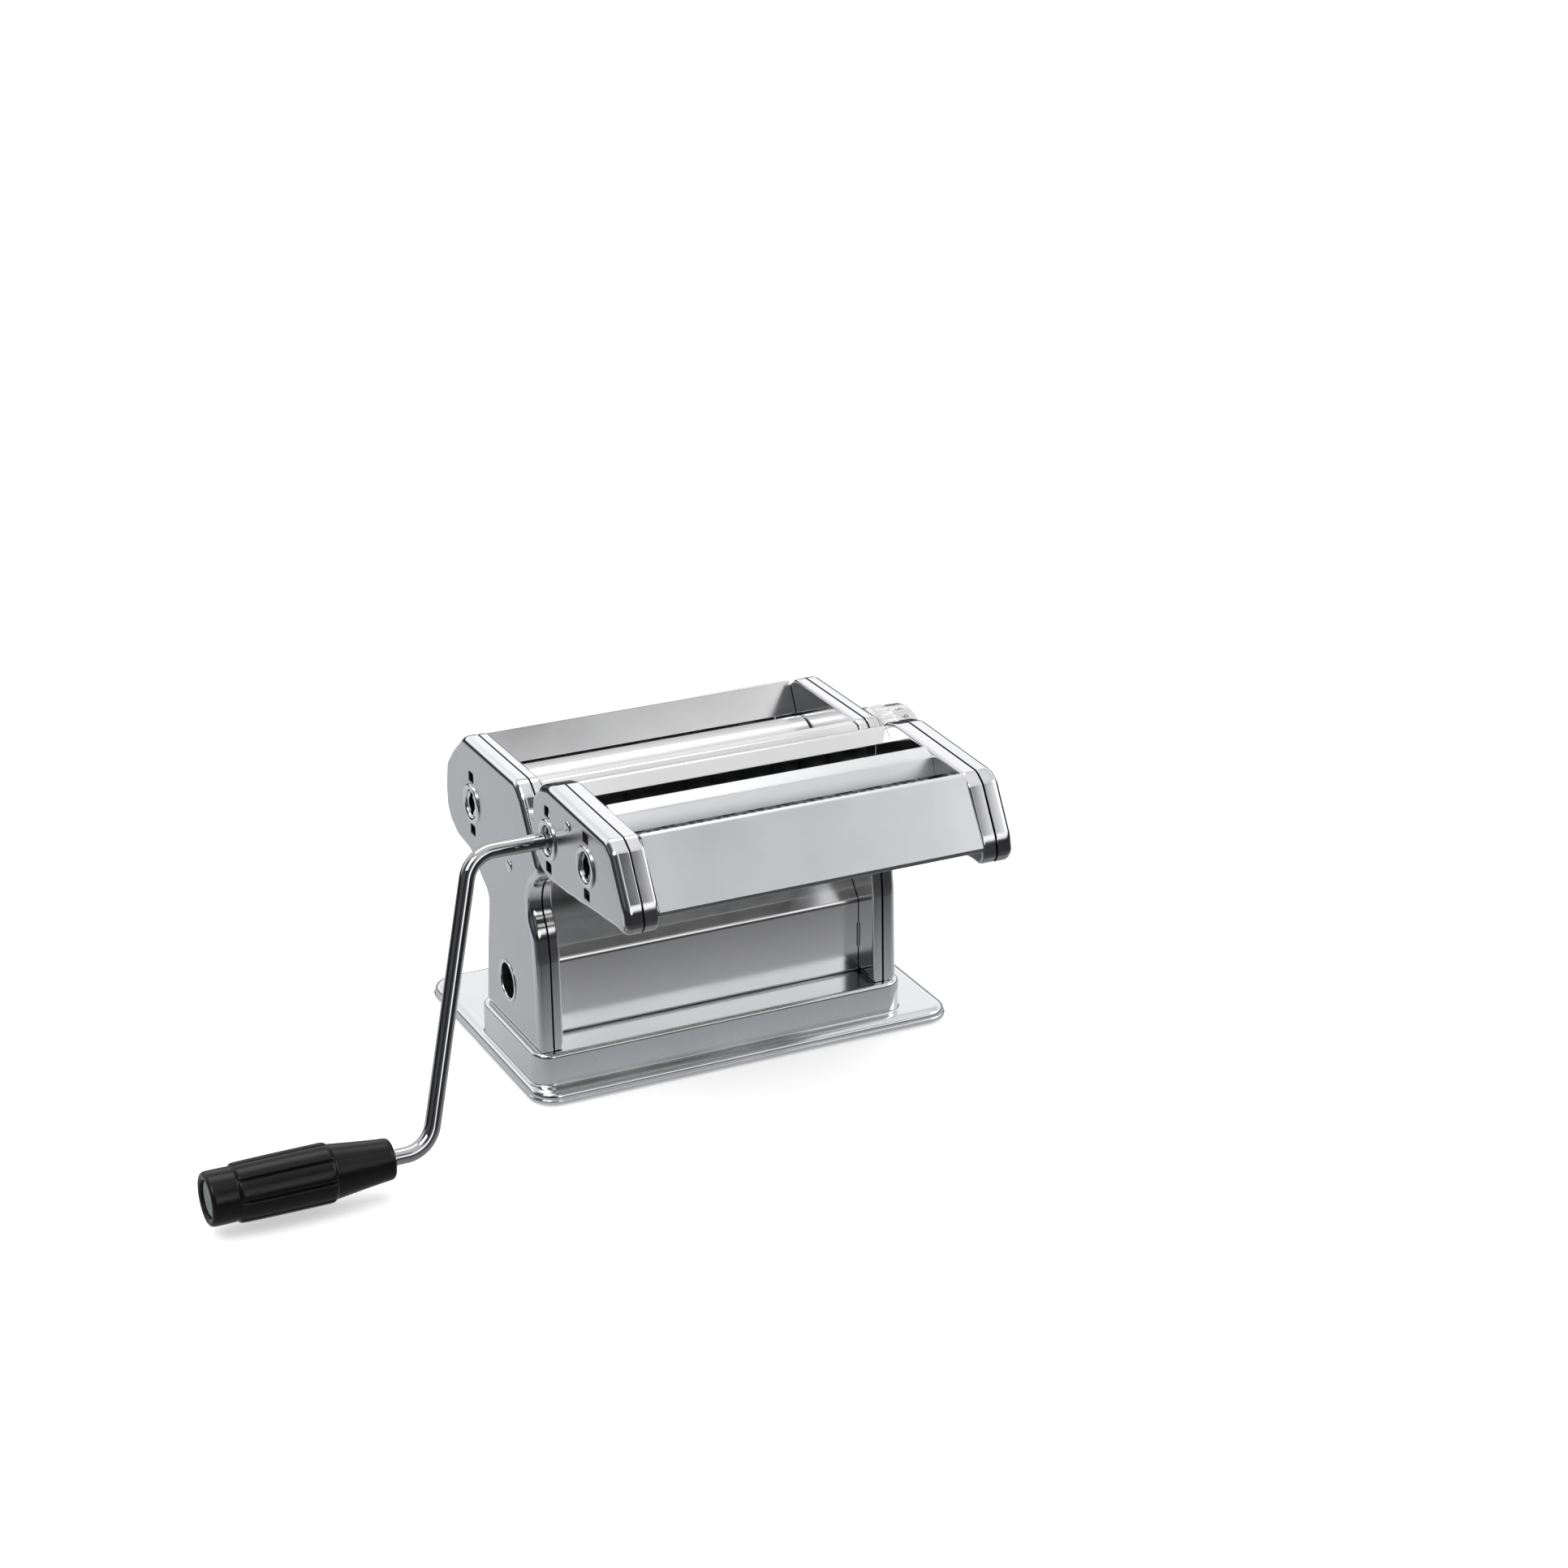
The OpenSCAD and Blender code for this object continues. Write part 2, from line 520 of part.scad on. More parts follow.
// ---------- cutter ----------
cxi = 74.9;                 // inner face of the cutter's side plates
crods = [[-69, 122.2], [-110.5, 122.5]];
cap_pin = [-104, 147];
bush_d = 14.5;
// section of a comb's spine below a cutting roller, on its side s
module comb_spine(a, s, x, g = 0) {
  translate([-x, a[0] + (s > 0 ? 2 : -8) - g, a[1] - 14.5 - g]) cube([2*x, 6 + 2*g, 3 + 2*g]);
}
combs = [[ax_wd, 1], [ax_wm, -1], [ax_nd, 1], [ax_nm, -1]];
// inner side plate with its flange, built for the +X side
module cutter_frame() {
  o = inset(cut_pts, 0.5);
  difference() {
    slab(rounded(o, cut_r, 4), cxi, x_gap);
    slab(rounded(inset(o, 1.2), [for (r = cut_r) max(0.4, r - 1.2)], 4), cxi + t_plate, x_gap + 1);
    for (a = [ax_wd, ax_wm, ax_nd, ax_nm]) bar(a, cxi - 1, cxi + 3, bush_d);
    for (a = crods) bar(a, cxi - 1, cxi + 3, 4);
    bar(cap_pin, cxi - 1, cxi + 3, 3);
    for (c = combs) comb_spine(c[0], c[1], 90, 0.05);
  }
}
module cutter_frame_left() { color("silver") mirror([1, 0, 0]) cutter_frame(); }
module cutter_frame_right() { color("silver") cutter_frame(); }
module cutter_cap() {
  difference() {
    pressed(cut_pts, cut_r, x_cov, cap_face, 3.6, sheet);
    bar(cap_pin, x_cov, cap_face + 1, 3);
  }
}
module cutter_cap_left() {
  color("gainsboro") difference() {
    mirror([1, 0, 0]) cutter_cap();
    for (a = [ax_wd, ax_nd]) socket_opening(a, cap_face);
  }
}
module cutter_cap_right() { color("gainsboro") cutter_cap(); }
module cutter_socket_rings() { color("silver") for (a = [ax_wd, ax_nd]) socket_ring(a, cap_face); }
module cutter_screws() {
  color("silver") both() {
    bar(cap_pin, cap_face + 0.02, cap_face + 1, 5);
    bar(cap_pin, cxi + e, cap_face + e, 2.9);
    bar(cap_pin, cxi + t_plate + 0.02, cap_face - sheet - 0.02, 5.4);
  }
}
module cutter_tie_rods() {
  color("silver") for (a = crods) {
    bar(a, -cxi + e, cxi - e, 6);
    both() { bar(a, cxi - 0.2, cxi + t_plate + 1, 3.95); bar(a, cxi + t_plate + 0.02, cxi + t_plate + 1.4, 5.2); }
  }
}
module cutter_bushes() {
  color("ivory") for (s = [-1, 1]) for (a = [ax_wd, ax_wm, ax_nd, ax_nm]) difference() {
    union() {
      bar(a, s > 0 ? cxi - 0.3 : -cxi - t_plate - 1, s > 0 ? cxi + t_plate + 1 : -cxi + 0.3, bush_d - 0.05);
      bar(a, s > 0 ? cxi + t_plate + 0.02 : -cxi - t_plate - 1, s > 0 ? cxi + t_plate + 1 : -cxi - t_plate - 0.02, 16.6);
    }
    bar(a, -90, 90, s < 0 && (a == ax_wd || a == ax_nd) ? 12.08 : 8.06);
  }
}
module cutter_front_plate() {
  color("gainsboro") bent([[-159.6, 127.2], [-160.8, 126], [-162.4, 126.2], [-163, 128.2], [-145.6, 155.2], [-144, 155.9], [-142.6, 154.8], [-142.8, 153.2]],
    [0.2, 0.6, 0.8, 0.9, 1.2, 0.9, 0.6, 0.2], -0.9, -cxi + 0.1, cxi - 0.1);
}
module cutter_guide_plate() {
  color("gainsboro") bent([[-104.6, 145.6], [-110.4, 155.5], [-116.8, 152.2], [-116.8, 146]],
    [0.2, 1, 2.5, 0.2], -0.9, -cxi + 0.1, cxi - 0.1);
}
// back sheet of the cutter with the saddles that hang it on the body's rail
module cutter_rear_plate() {
  color("gainsboro") {
    bent([[-64, 119.4], [-61.6, 127.4], [-63.4, 146], [-71.6, 153.8], [-78.6, 147.6]],
      [0.2, 8, 6, 3, 0.2], 0.9, -cxi + 0.1, cxi - 0.1);
    both() slab([[-63.6, 125.4], [-62.2, 125.4], [-53.9, 119], [-53.9, 109.8], [-55.5, 109.8], [-55.5, 114.9],
      [-61.7, 114.9], [-61.7, 109.8], [-63.4, 109.8], [-64.8, 119]], 48, 62);
  }
}

// cutting roller: discs of radius r1 and width w at the given pitch from x0, on a core of radius r0
function disc_profile(x0, n, w, pitch, r0, r1, l) = concat(
  [[0, -l], [r0, -l]],
  [for (i = [0 : n - 1]) for (q = [[r0, x0 + i*pitch], [r1, x0 + i*pitch], [r1, x0 + i*pitch + w], [r0, x0 + i*pitch + w]]) q],
  [[r0, l], [0, l]]);
cut_l = 73.6;
module cutting_roller(a, w, shift, xl, dl) {
  pitch = 2*w;
  nn = floor((2*cut_l - w) / pitch);
  xs = -(nn*pitch - w) / 2 + (shift > 0 ? w : 0) - w/2;
  translate([0, a[0], a[1]]) rotate([0, 90, 0]) rotate_extrude($fn = 64)
    polygon(disc_profile(xs + 0.05, nn, w - 0.1, pitch, disc_d/2 - 2.5, disc_d/2, cut_l));
  bar(a, xl, -cut_l + 1, dl);
  bar(a, cut_l - 1, 84.4, 8);
}
module wide_cutter_drive() {
  color("gainsboro") difference() {
    cutting_roller(ax_wd, wide_w, 0, -cap_face + 0.2, 12);
    socket_cut(ax_wd, -cap_face + 0.2, 20);
  }
}
module wide_cutter_mate() { color("gainsboro") cutting_roller(ax_wm, wide_w, 1, -77.6, 8); }
module narrow_cutter_drive() {
  color("gainsboro") difference() {
    cutting_roller(ax_nd, narrow_w, 0, -cap_face + 0.2, 12);
    socket_cut(ax_nd, -cap_face + 0.2, 20);
  }
}
module narrow_cutter_mate() { color("gainsboro") cutting_roller(ax_nm, narrow_w, 1, -77.6, 8); }

cz = 16;
cm = cd/cz;
module gear_wide_drive() { color("dimgray") gear(ax_wd, 78.2, 84, cz, cm, 0.22, 0.9*cm, 8.06, 0); }
module gear_wide_mate() { color("dimgray") gear(ax_wm, 78.2, 84, cz, cm, 0.22, 0.9*cm, 8.06, 180/cz); }
module gear_narrow_drive() { color("dimgray") gear(ax_nd, 78.2, 84, cz, cm, 0.22, 0.9*cm, 8.06, 0); }
module gear_narrow_mate() { color("dimgray") gear(ax_nm, 78.2, 84, cz, cm, 0.22, 0.9*cm, 8.06, 180/cz); }

// comb whose fingers strip the dough out of a cutting roller's grooves
module comb(a, s, w, shift) {
  pitch = 2*w;
  nn = floor((2*cut_l - w) / pitch);
  xs = -(nn*pitch - w) / 2 + (shift > 0 ? w : 0) - w/2;
  comb_spine(a, s, cxi + t_plate);
  for (i = [0 : nn - 2]) slab([[a[0] + s*2, a[1] - 8.1], [a[0] + s*7, a[1] - 11.4], [a[0] + s*7, a[1] - 12], [a[0] + s*2.2, a[1] - 12]],
    xs + w + i*pitch + 0.3, xs + 2*w + i*pitch - 0.3);
}
module wide_comb() { color("whitesmoke") { comb(ax_wd, 1, wide_w, 0); comb(ax_wm, -1, wide_w, 1); } }
module narrow_comb() { color("whitesmoke") { comb(ax_nd, 1, narrow_w, 0); comb(ax_nm, -1, narrow_w, 1); } }

// ---------- crank ----------
crank_x = -66;
corner_x = 59;
bend_r = 14;
arm_a = atan2(crank_r, crank_slant);
bend_t = bend_r*tan(arm_a/2);
arm_l = norm([crank_r, crank_slant]);
end_x = corner_x + crank_slant;
grip_x = corner_x + crank_slant + 17;
module rod(p, w, l, d = rod_d) { translate([p[0], p[1], 0]) rotate([0, 0, w]) rotate([0, 90, 0]) cylinder(h = l, d = d, $fn = 32); }
module bend(c, w) { translate([c[0], c[1], 0]) rotate([0, 0, w]) rotate_extrude(angle = arm_a, $fn = 48) translate([bend_r, 0]) circle(d = rod_d + 0.04, $fn = 32); }
module crank_rod() {
  color("silver") {
    translate([crank_x, ax_wd[0], ax_wd[1]]) rotate([90 - crank_lean, 0, 0]) rotate([0, 0, 180]) {
      rod([4.4, 0], 0, corner_x - bend_t - 4.2);
      bend([corner_x - bend_t, bend_r], -90);
      rod([corner_x + (bend_t - 0.2)*cos(arm_a), (bend_t - 0.2)*sin(arm_a)], arm_a, arm_l - 2*bend_t + 0.4);
      bend([end_x + bend_t, crank_r - bend_r], 90);
      rod([end_x + bend_t - 0.2, crank_r], 0, grip_x + 75.1 - end_x - bend_t);
      rod([grip_x - 1.3, crank_r], 0, 1.2, 9.6);
      rod([grip_x + 72.9, crank_r], 0, 2, 10.5);
    }
    // cross pin that engages the slot of a socket
    translate([-cap_face + 1.8, ax_wd[0], ax_wd[1] - 5]) cylinder(h = 10, d = 2.8, $fn = 32);
  }
}
// grip and cap turn on the far end of the rod
module on_grip() {
  translate([crank_x, ax_wd[0], ax_wd[1]]) rotate([90 - crank_lean, 0, 0]) rotate([0, 0, 180])
    translate([grip_x, crank_r, 0]) rotate([0, 90, 0]) children();
}
module crank_grip() {
  l = grip_l;
  color("black") on_grip() rotate_extrude($fn = 64)
    polygon([[3.56, 0], [7.9, 0], [8.9, 1.2], [9.3, 6], [10.1, 13], [11.1, 21], [11.8, 26.4], [12.7, 27.6], [12.9, 29], [12.9, 44],
      [12.8, 60], [12.6, l - 13], [11.6, l - 11.7], [11.65, l - 1.6], [10.6, l], [8, l], [8, 75.8], [6, 75.8], [6, 72.7], [3.56, 72.7]]);
}
module grip_end_cap() {
  color("gray") on_grip() rotate_extrude($fn = 64)
    polygon([[0, 75.9], [7.94, 75.9], [7.94, grip_l - 2], [7.5, grip_l - 1.5], [0, grip_l - 1.5]]);
}

base_plate();
base_bottom_plate();
non_slip_pad();
leg_screws();
side_frame_left();
side_frame_right();
side_cover_left();
side_cover_right();
clamp_sockets();
body_tie_rods();
tie_rod_nuts();
front_rail();
cover_rivets();
chute_plate();
rear_cover();
hopper_front_plate();
roller_fixed();
roller_adjustable();
gear_fixed_roller();
gear_adjustable_roller();
roller_bushes();
body_socket_ring();
roller_scrapers();
adjuster_plate_left();
adjuster_plate_right();
adjuster_link_bar();
regulator_spindle();
regulator_knob();
knob_spring();
index_plate();
cutter_frame_left();
cutter_frame_right();
cutter_cap_left();
cutter_cap_right();
cutter_front_plate();
cutter_guide_plate();
cutter_rear_plate();
cutter_tie_rods();
cutter_bushes();
cutter_socket_rings();
cutter_screws();
wide_cutter_drive();
wide_cutter_mate();
narrow_cutter_drive();
narrow_cutter_mate();
gear_wide_drive();
gear_wide_mate();
gear_narrow_drive();
gear_narrow_mate();
wide_comb();
narrow_comb();
crank_rod();
crank_grip();
grip_end_cap();
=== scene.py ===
"""Pasta roller machine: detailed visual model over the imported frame."""
import json
import math

import bmesh
import bpy
from mathutils import Matrix, Vector


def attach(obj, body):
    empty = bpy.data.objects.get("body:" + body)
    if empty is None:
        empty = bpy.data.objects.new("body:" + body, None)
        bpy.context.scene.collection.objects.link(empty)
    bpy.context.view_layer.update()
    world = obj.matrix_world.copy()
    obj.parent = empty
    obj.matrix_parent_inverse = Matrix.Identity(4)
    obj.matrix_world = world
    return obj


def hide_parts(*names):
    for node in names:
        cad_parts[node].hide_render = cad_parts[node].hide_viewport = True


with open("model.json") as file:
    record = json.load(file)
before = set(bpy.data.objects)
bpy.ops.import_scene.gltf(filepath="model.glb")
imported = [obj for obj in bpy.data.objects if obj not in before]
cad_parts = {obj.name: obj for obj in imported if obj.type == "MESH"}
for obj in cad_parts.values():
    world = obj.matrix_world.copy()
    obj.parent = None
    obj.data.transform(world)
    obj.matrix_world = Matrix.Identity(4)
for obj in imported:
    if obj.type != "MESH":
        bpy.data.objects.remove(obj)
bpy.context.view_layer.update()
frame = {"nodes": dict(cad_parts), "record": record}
NODES = frame["nodes"]
RECORD = frame["record"]
BODY_OF = {n: b for b, ns in RECORD["behaviour"]["bodies"].items() for n in ns}
MM = 0.001

# ------------------------------------------------------------------ numbers
XI = 76.9            # inner face of the body's side plates
X_GAP = 81.4         # outer edge of the side plates' flanges
X_COV = 82.0         # inner edge of the pressed covers
COVER = 88.8
CAP = 90.0
SHEET = 0.8
T_PLATE = 1.5
CXI = 74.9

AX_FIXED = (12.7, 115.0)
AX_ADJ = (-17.2, 115.0)
AX_KNOB = (-15.9, 115.0)
AX_WD = (-80.9, 132.5)
AX_WM = (-98.5, 132.5)
AX_ND = (-122.5, 136.0)
AX_NM = (-140.1, 136.0)
LINK = (-37.0, 119.5)
RODS = [(34, 105), (-46, 104), (-36.5, 31), (-4.5, 37)]
CLAMP = (-23.5, 43.1)
RIVET = (-31, 101.4)
RAIL = (-58.6, 111.8)
CAP_PIN = (-104, 147)
CRODS = [(-69, 122.2), (-110.5, 122.5)]

SIDE = [(-59, 21.7), (-58, 66), (-56.2, 78.5), (-51.2, 86), (-50.5, 93.5), (-54.4, 101.5),
        (-65.5, 109.5), (-46.5, 139.5), (-41, 144.5), (22, 144.5), (37, 133), (45, 125),
        (47.3, 112), (46.8, 102.5), (43, 96.5), (34, 91.2), (16.5, 89.3), (6, 81),
        (-2, 76.5), (2, 50), (5, 21.7)]
SIDE_R = [0.6, 40, 20, 14, 14, 14, 5, 12, 8, 9, 9, 9, 11, 10, 10, 12, 14, 14, 10, 60, 0.6]
CUT = [(-61, 128), (-65, 119.5), (-71, 114.5), (-80, 112.6), (-93, 113.2), (-152, 119.2),
       (-160, 119), (-163, 124), (-161.5, 131), (-149, 152), (-143.5, 155.5), (-82, 157),
       (-72, 154.5), (-63, 146.5)]
CUT_R = [10, 8, 8, 10, 30, 12, 4, 4, 14, 6, 5, 14, 10, 8]

# ------------------------------------------------------------------ helpers


def unit(v):
    n = math.hypot(v[0], v[1])
    return (v[0] / n, v[1] / n)


def inset(p, d):
    """clockwise outline moved inwards by d"""
    out = []
    for i in range(len(p)):
        a, b, c = p[i - 1], p[i], p[(i + 1) % len(p)]
        u, v = unit((b[0] - a[0], b[1] - a[1])), unit((c[0] - b[0], c[1] - b[1]))
        nu, nv = (u[1], -u[0]), (v[1], -v[0])
        m = unit((nu[0] + nv[0], nu[1] + nv[1]))
        s = d / (m[0] * nu[0] + m[1] * nu[1])
        out.append((b[0] + m[0] * s, b[1] + m[1] * s))
    return out


def inner_r(p, r, d):
    out = []
    for i in range(len(p)):
        a, b, c = p[i - 1], p[i], p[(i + 1) % len(p)]
        cross = (b[0] - a[0]) * (c[1] - b[1]) - (b[1] - a[1]) * (c[0] - b[0])
        out.append(max(0.3, r[i] - d if cross < 0 else r[i] + d))
    return out


def rounded(p, r, n):
    out = []
    k = len(p)
    for i in range(k):
        P, A, B = p[i], p[i - 1], p[(i + 1) % k]
        la, lb = math.hypot(A[0] - P[0], A[1] - P[1]), math.hypot(B[0] - P[0], B[1] - P[1])
        a, b = ((A[0] - P[0]) / la, (A[1] - P[1]) / la), ((B[0] - P[0]) / lb, (B[1] - P[1]) / lb)
        ang = math.acos(max(-1, min(1, a[0] * b[0] + a[1] * b[1])))
        half = ang / 2
        tl = min(r[i] / math.tan(half), 0.48 * min(la, lb))
        rr = tl * math.tan(half)
        m = unit((a[0] + b[0], a[1] + b[1]))
        c = (P[0] + m[0] * rr / math.sin(half), P[1] + m[1] * rr / math.sin(half))
        s = (P[0] + a[0] * tl - c[0], P[1] + a[1] * tl - c[1])
        f = (P[0] + b[0] * tl - c[0], P[1] + b[1] * tl - c[1])
        sweep = math.pi - ang
        sgn = 1 if s[0] * f[1] - s[1] * f[0] > 0 else -1
        for j in range(n + 1):
            w = sgn * sweep * j / n
            out.append((c[0] + s[0] * math.cos(w) - s[1] * math.sin(w),
                        c[1] + s[0] * math.sin(w) + s[1] * math.cos(w)))
    return out


def offset_outline(p, r, d, n):
    return rounded(inset(p, d), inner_r(p, r, d), n)


def circle(a, r, n=48):
    return [(a[0] + r * math.cos(2 * math.pi * i / n), a[1] + r * math.sin(2 * math.pi * i / n)) for i in range(n)]


def rrect(y0, y1, z0, z1, r, n=5):
    """clockwise rounded rectangle in (y, z)"""
    return rounded([(y0, z0), (y0, z1), (y1, z1), (y1, z0)], [r] * 4, n)


def stadium(a, d, travel):
    r = d / 2
    pts = []
    for i in range(17):
        w = math.pi / 2 + math.pi * i / 16
        pts.append((a[0] + r * math.cos(w), a[1] + r * math.sin(w)))
    for i in range(17):
        w = -math.pi / 2 + math.pi * i / 16
        pts.append((a[0] + travel + r * math.cos(w), a[1] + r * math.sin(w)))
    return pts


def finish_mesh(name, bm, node, mat, sharp=32, doubles=0.000002, body=None, weighted=True, extra_nodes=()):
    bmesh.ops.remove_doubles(bm, verts=bm.verts, dist=doubles)
    bmesh.ops.dissolve_degenerate(bm, dist=1e-7, edges=bm.edges)
    bmesh.ops.recalc_face_normals(bm, faces=bm.faces)
    for f in bm.faces:
        f.smooth = True
    me = bpy.data.meshes.new(name)
    bm.to_mesh(me)
    bm.free()
    me.set_sharp_from_angle(angle=math.radians(sharp))
    for m in (mat if isinstance(mat, (list, tuple)) else [mat]):
        me.materials.append(m)
    o = bpy.data.objects.new(name, me)
    bpy.context.scene.collection.objects.link(o)
    if weighted:
        w = o.modifiers.new("normals", "WEIGHTED_NORMAL")
        w.keep_sharp = True
        w.weight = 90
    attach(o, body or BODY_OF[node])
    if node:
        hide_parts(node, *extra_nodes)
    return o


def ring(bm, pts):
    return [bm.verts.new(Vector(p) * MM) for p in pts]


def join(bm, a, b, closed=True):
    n = len(a)
    for i in range(n if closed else n - 1):
        j = (i + 1) % n
        try:
            bm.faces.new((a[i], a[j], b[j], b[i]))
        except ValueError:
            pass


def fill(bm, loops, axis):
    """flat face between an outer loop and any hole loops"""
    edges = []
    for lp in loops:
        for i in range(len(lp)):
            e = bm.edges.get((lp[i], lp[(i + 1) % len(lp)]))
            if e is None:
                e = bm.edges.new((lp[i], lp[(i + 1) % len(lp)]))
            edges.append(e)
    bmesh.ops.triangle_fill(bm, use_beauty=True, use_dissolve=False, edges=edges, normal=axis)


def lathe_into(bm, a, prof, n=64, flip=False):
    """profile [(x, r), ...] turned round the X axis through a = (y, z)"""
    rings = []
    for x, r in prof:
        if r < 1e-6:
            rings.append([bm.verts.new(Vector((x, a[0], a[1])) * MM)])
        else:
            rings.append(ring(bm, [(x, a[0] + r * math.cos(2 * math.pi * i / n), a[1] + r * math.sin(2 * math.pi * i / n)) for i in range(n)]))
    for p, q in zip(rings, rings[1:]):
        if len(p) == 1 and len(q) > 1:
            for i in range(len(q)):
                bm.faces.new((p[0], q[i], q[(i + 1) % len(q)]))
        elif len(q) == 1 and len(p) > 1:
            for i in range(len(p)):
                bm.faces.new((q[0], p[(i + 1) % len(p)], p[i]))
        elif len(p) > 1:
            join(bm, p, q)
    return rings


def soft_profile(prof, r=0.25, n=3):
    """profile with each inner corner rounded by about r"""
    out = [prof[0]]
    for i in range(1, len(prof) - 1):
        A, P, B = prof[i - 1], prof[i], prof[i + 1]
        la, lb = math.hypot(A[0] - P[0], A[1] - P[1]), math.hypot(B[0] - P[0], B[1] - P[1])
        t = min(r, 0.4 * la, 0.4 * lb)
        if la < 1e-6 or lb < 1e-6:
            out.append(P)
            continue
        a = (P[0] + (A[0] - P[0]) / la * t, P[1] + (A[1] - P[1]) / la * t)
        b = (P[0] + (B[0] - P[0]) / lb * t, P[1] + (B[1] - P[1]) / lb * t)
        for j in range(n + 1):
            w = j / n
            out.append(((1 - w) ** 2 * a[0] + 2 * w * (1 - w) * P[0] + w * w * b[0],
                        (1 - w) ** 2 * a[1] + 2 * w * (1 - w) * P[1] + w * w * b[1]))
    out.append(prof[-1])
    return out


def add_box(bm, lo, hi, bevel=0.15):
    r = bmesh.ops.create_cube(bm, size=1.0)
    vs = r["verts"]
    for v in vs:
        v.co = Vector([(lo[k] + hi[k]) / 2 + v.co[k] * (hi[k] - lo[k]) for k in range(3)]) * MM
    es = list({e for v in vs for e in v.link_edges})
    bmesh.ops.bevel(bm, geom=es, offset=bevel * MM, segments=2, profile=0.5, affect='EDGES')


# ------------------------------------------------------------------ materials


def new_mat(name):
    m = bpy.data.materials.new(name)
    m.use_nodes = True
    nt = m.node_tree
    nt.nodes.clear()
    out = nt.nodes.new("ShaderNodeOutputMaterial")
    b = nt.nodes.new("ShaderNodeBsdfPrincipled")
    nt.links.new(b.outputs[0], out.inputs[0])
    return m, nt, b


def noise(nt, coord, scale, detail=3, rough=0.5, stretch=(1, 1, 1)):
    mp = nt.nodes.new("ShaderNodeMapping")
    mp.inputs["Scale"].default_value = stretch
    nt.links.new(coord, mp.inputs["Vector"])
    t = nt.nodes.new("ShaderNodeTexNoise")
    t.inputs["Scale"].default_value = scale
    t.inputs["Detail"].default_value = detail
    t.inputs["Roughness"].default_value = rough
    nt.links.new(mp.outputs[0], t.inputs["Vector"])
    return t.outputs["Fac"]


def ramp(nt, fac, a, b, lo=0.35, hi=0.65):
    """map a factor to the range a..b"""
    r = nt.nodes.new("ShaderNodeMapRange")
    r.inputs["From Min"].default_value = lo
    r.inputs["From Max"].default_value = hi
    r.inputs["To Min"].default_value = a
    r.inputs["To Max"].default_value = b
    nt.links.new(fac, r.inputs["Value"])
    return r.outputs[0]


def math_node(nt, op, a, b):
    m = nt.nodes.new("ShaderNodeMath")
    m.operation = op
    for i, v in enumerate((a, b)):
        if isinstance(v, (int, float)):
            m.inputs[i].default_value = v
        else:
            nt.links.new(v, m.inputs[i])
    return m.outputs[0]


def mix_col(nt, fac, a, b, kind="MIX"):
    m = nt.nodes.new("ShaderNodeMix")
    m.data_type = "RGBA"
    m.blend_type = kind
    for i, v in ((6, a), (7, b)):
        if isinstance(v, tuple):
            m.inputs[i].default_value = (*v, 1)
        else:
            nt.links.new(v, m.inputs[i])
    if isinstance(fac, (int, float)):
        m.inputs[0].default_value = fac
    else:
        nt.links.new(fac, m.inputs[0])
    return m.outputs[2]


def metal(name, col, rough=(0.12, 0.22), brush=None, grain=0.25, bump=0.05, stain=0.06, wear=0.12, wave=0.0):
    """steel with a brushed grain along one axis, faint clouds and polished edges"""
    m, nt, b = new_mat(name)
    tc = nt.nodes.new("ShaderNodeTexCoord")
    co = tc.outputs["Object"]
    geo = nt.nodes.new("ShaderNodeNewGeometry")
    cloud = noise(nt, co, 28, 4, 0.55)
    if brush is not None:
        s = [90.0, 90.0, 90.0]
        s[brush] = 2.2
        hair = noise(nt, co, 42, 5, 0.7, tuple(s))
    else:
        hair = noise(nt, co, 1500, 3, 0.6)
    dark = tuple(c * (1 - stain) for c in col)
    lite = tuple(min(1.0, c * (1 + stain * 0.5)) for c in col)
    c1 = mix_col(nt, ramp(nt, cloud, 0, 1, 0.32, 0.68), dark, lite)
    c2 = mix_col(nt, ramp(nt, hair, 0, grain), c1, tuple(c * 0.72 for c in col))
    edge = ramp(nt, geo.outputs["Pointiness"], 0.0, wear * 3, 0.505, 0.56)
    c3 = mix_col(nt, edge, c2, tuple(min(1.0, c * 1.18) for c in col))
    nt.links.new(c3, b.inputs["Base Color"])
    b.inputs["Metallic"].default_value = 1.0
    r1 = ramp(nt, cloud, rough[0], rough[1], 0.3, 0.7)
    r2 = math_node(nt, "ADD", r1, math_node(nt, "MULTIPLY", hair, 0.10 * grain * 4 / 2))
    nt.links.new(r2, b.inputs["Roughness"])
    h = math_node(nt, "MULTIPLY", hair, 0.5)
    bp = nt.nodes.new("ShaderNodeBump")
    bp.inputs["Strength"].default_value = bump
    bp.inputs["Distance"].default_value = 0.0002
    nt.links.new(h, bp.inputs["Height"])
    last = bp.outputs[0]
    if wave:
        b2 = nt.nodes.new("ShaderNodeBump")
        b2.inputs["Strength"].default_value = wave
        b2.inputs["Distance"].default_value = 0.001
        nt.links.new(noise(nt, co, 22, 1, 0.4), b2.inputs["Height"])
        nt.links.new(last, b2.inputs["Normal"])
        last = b2.outputs[0]
    nt.links.new(last, b.inputs["Normal"])
    return m


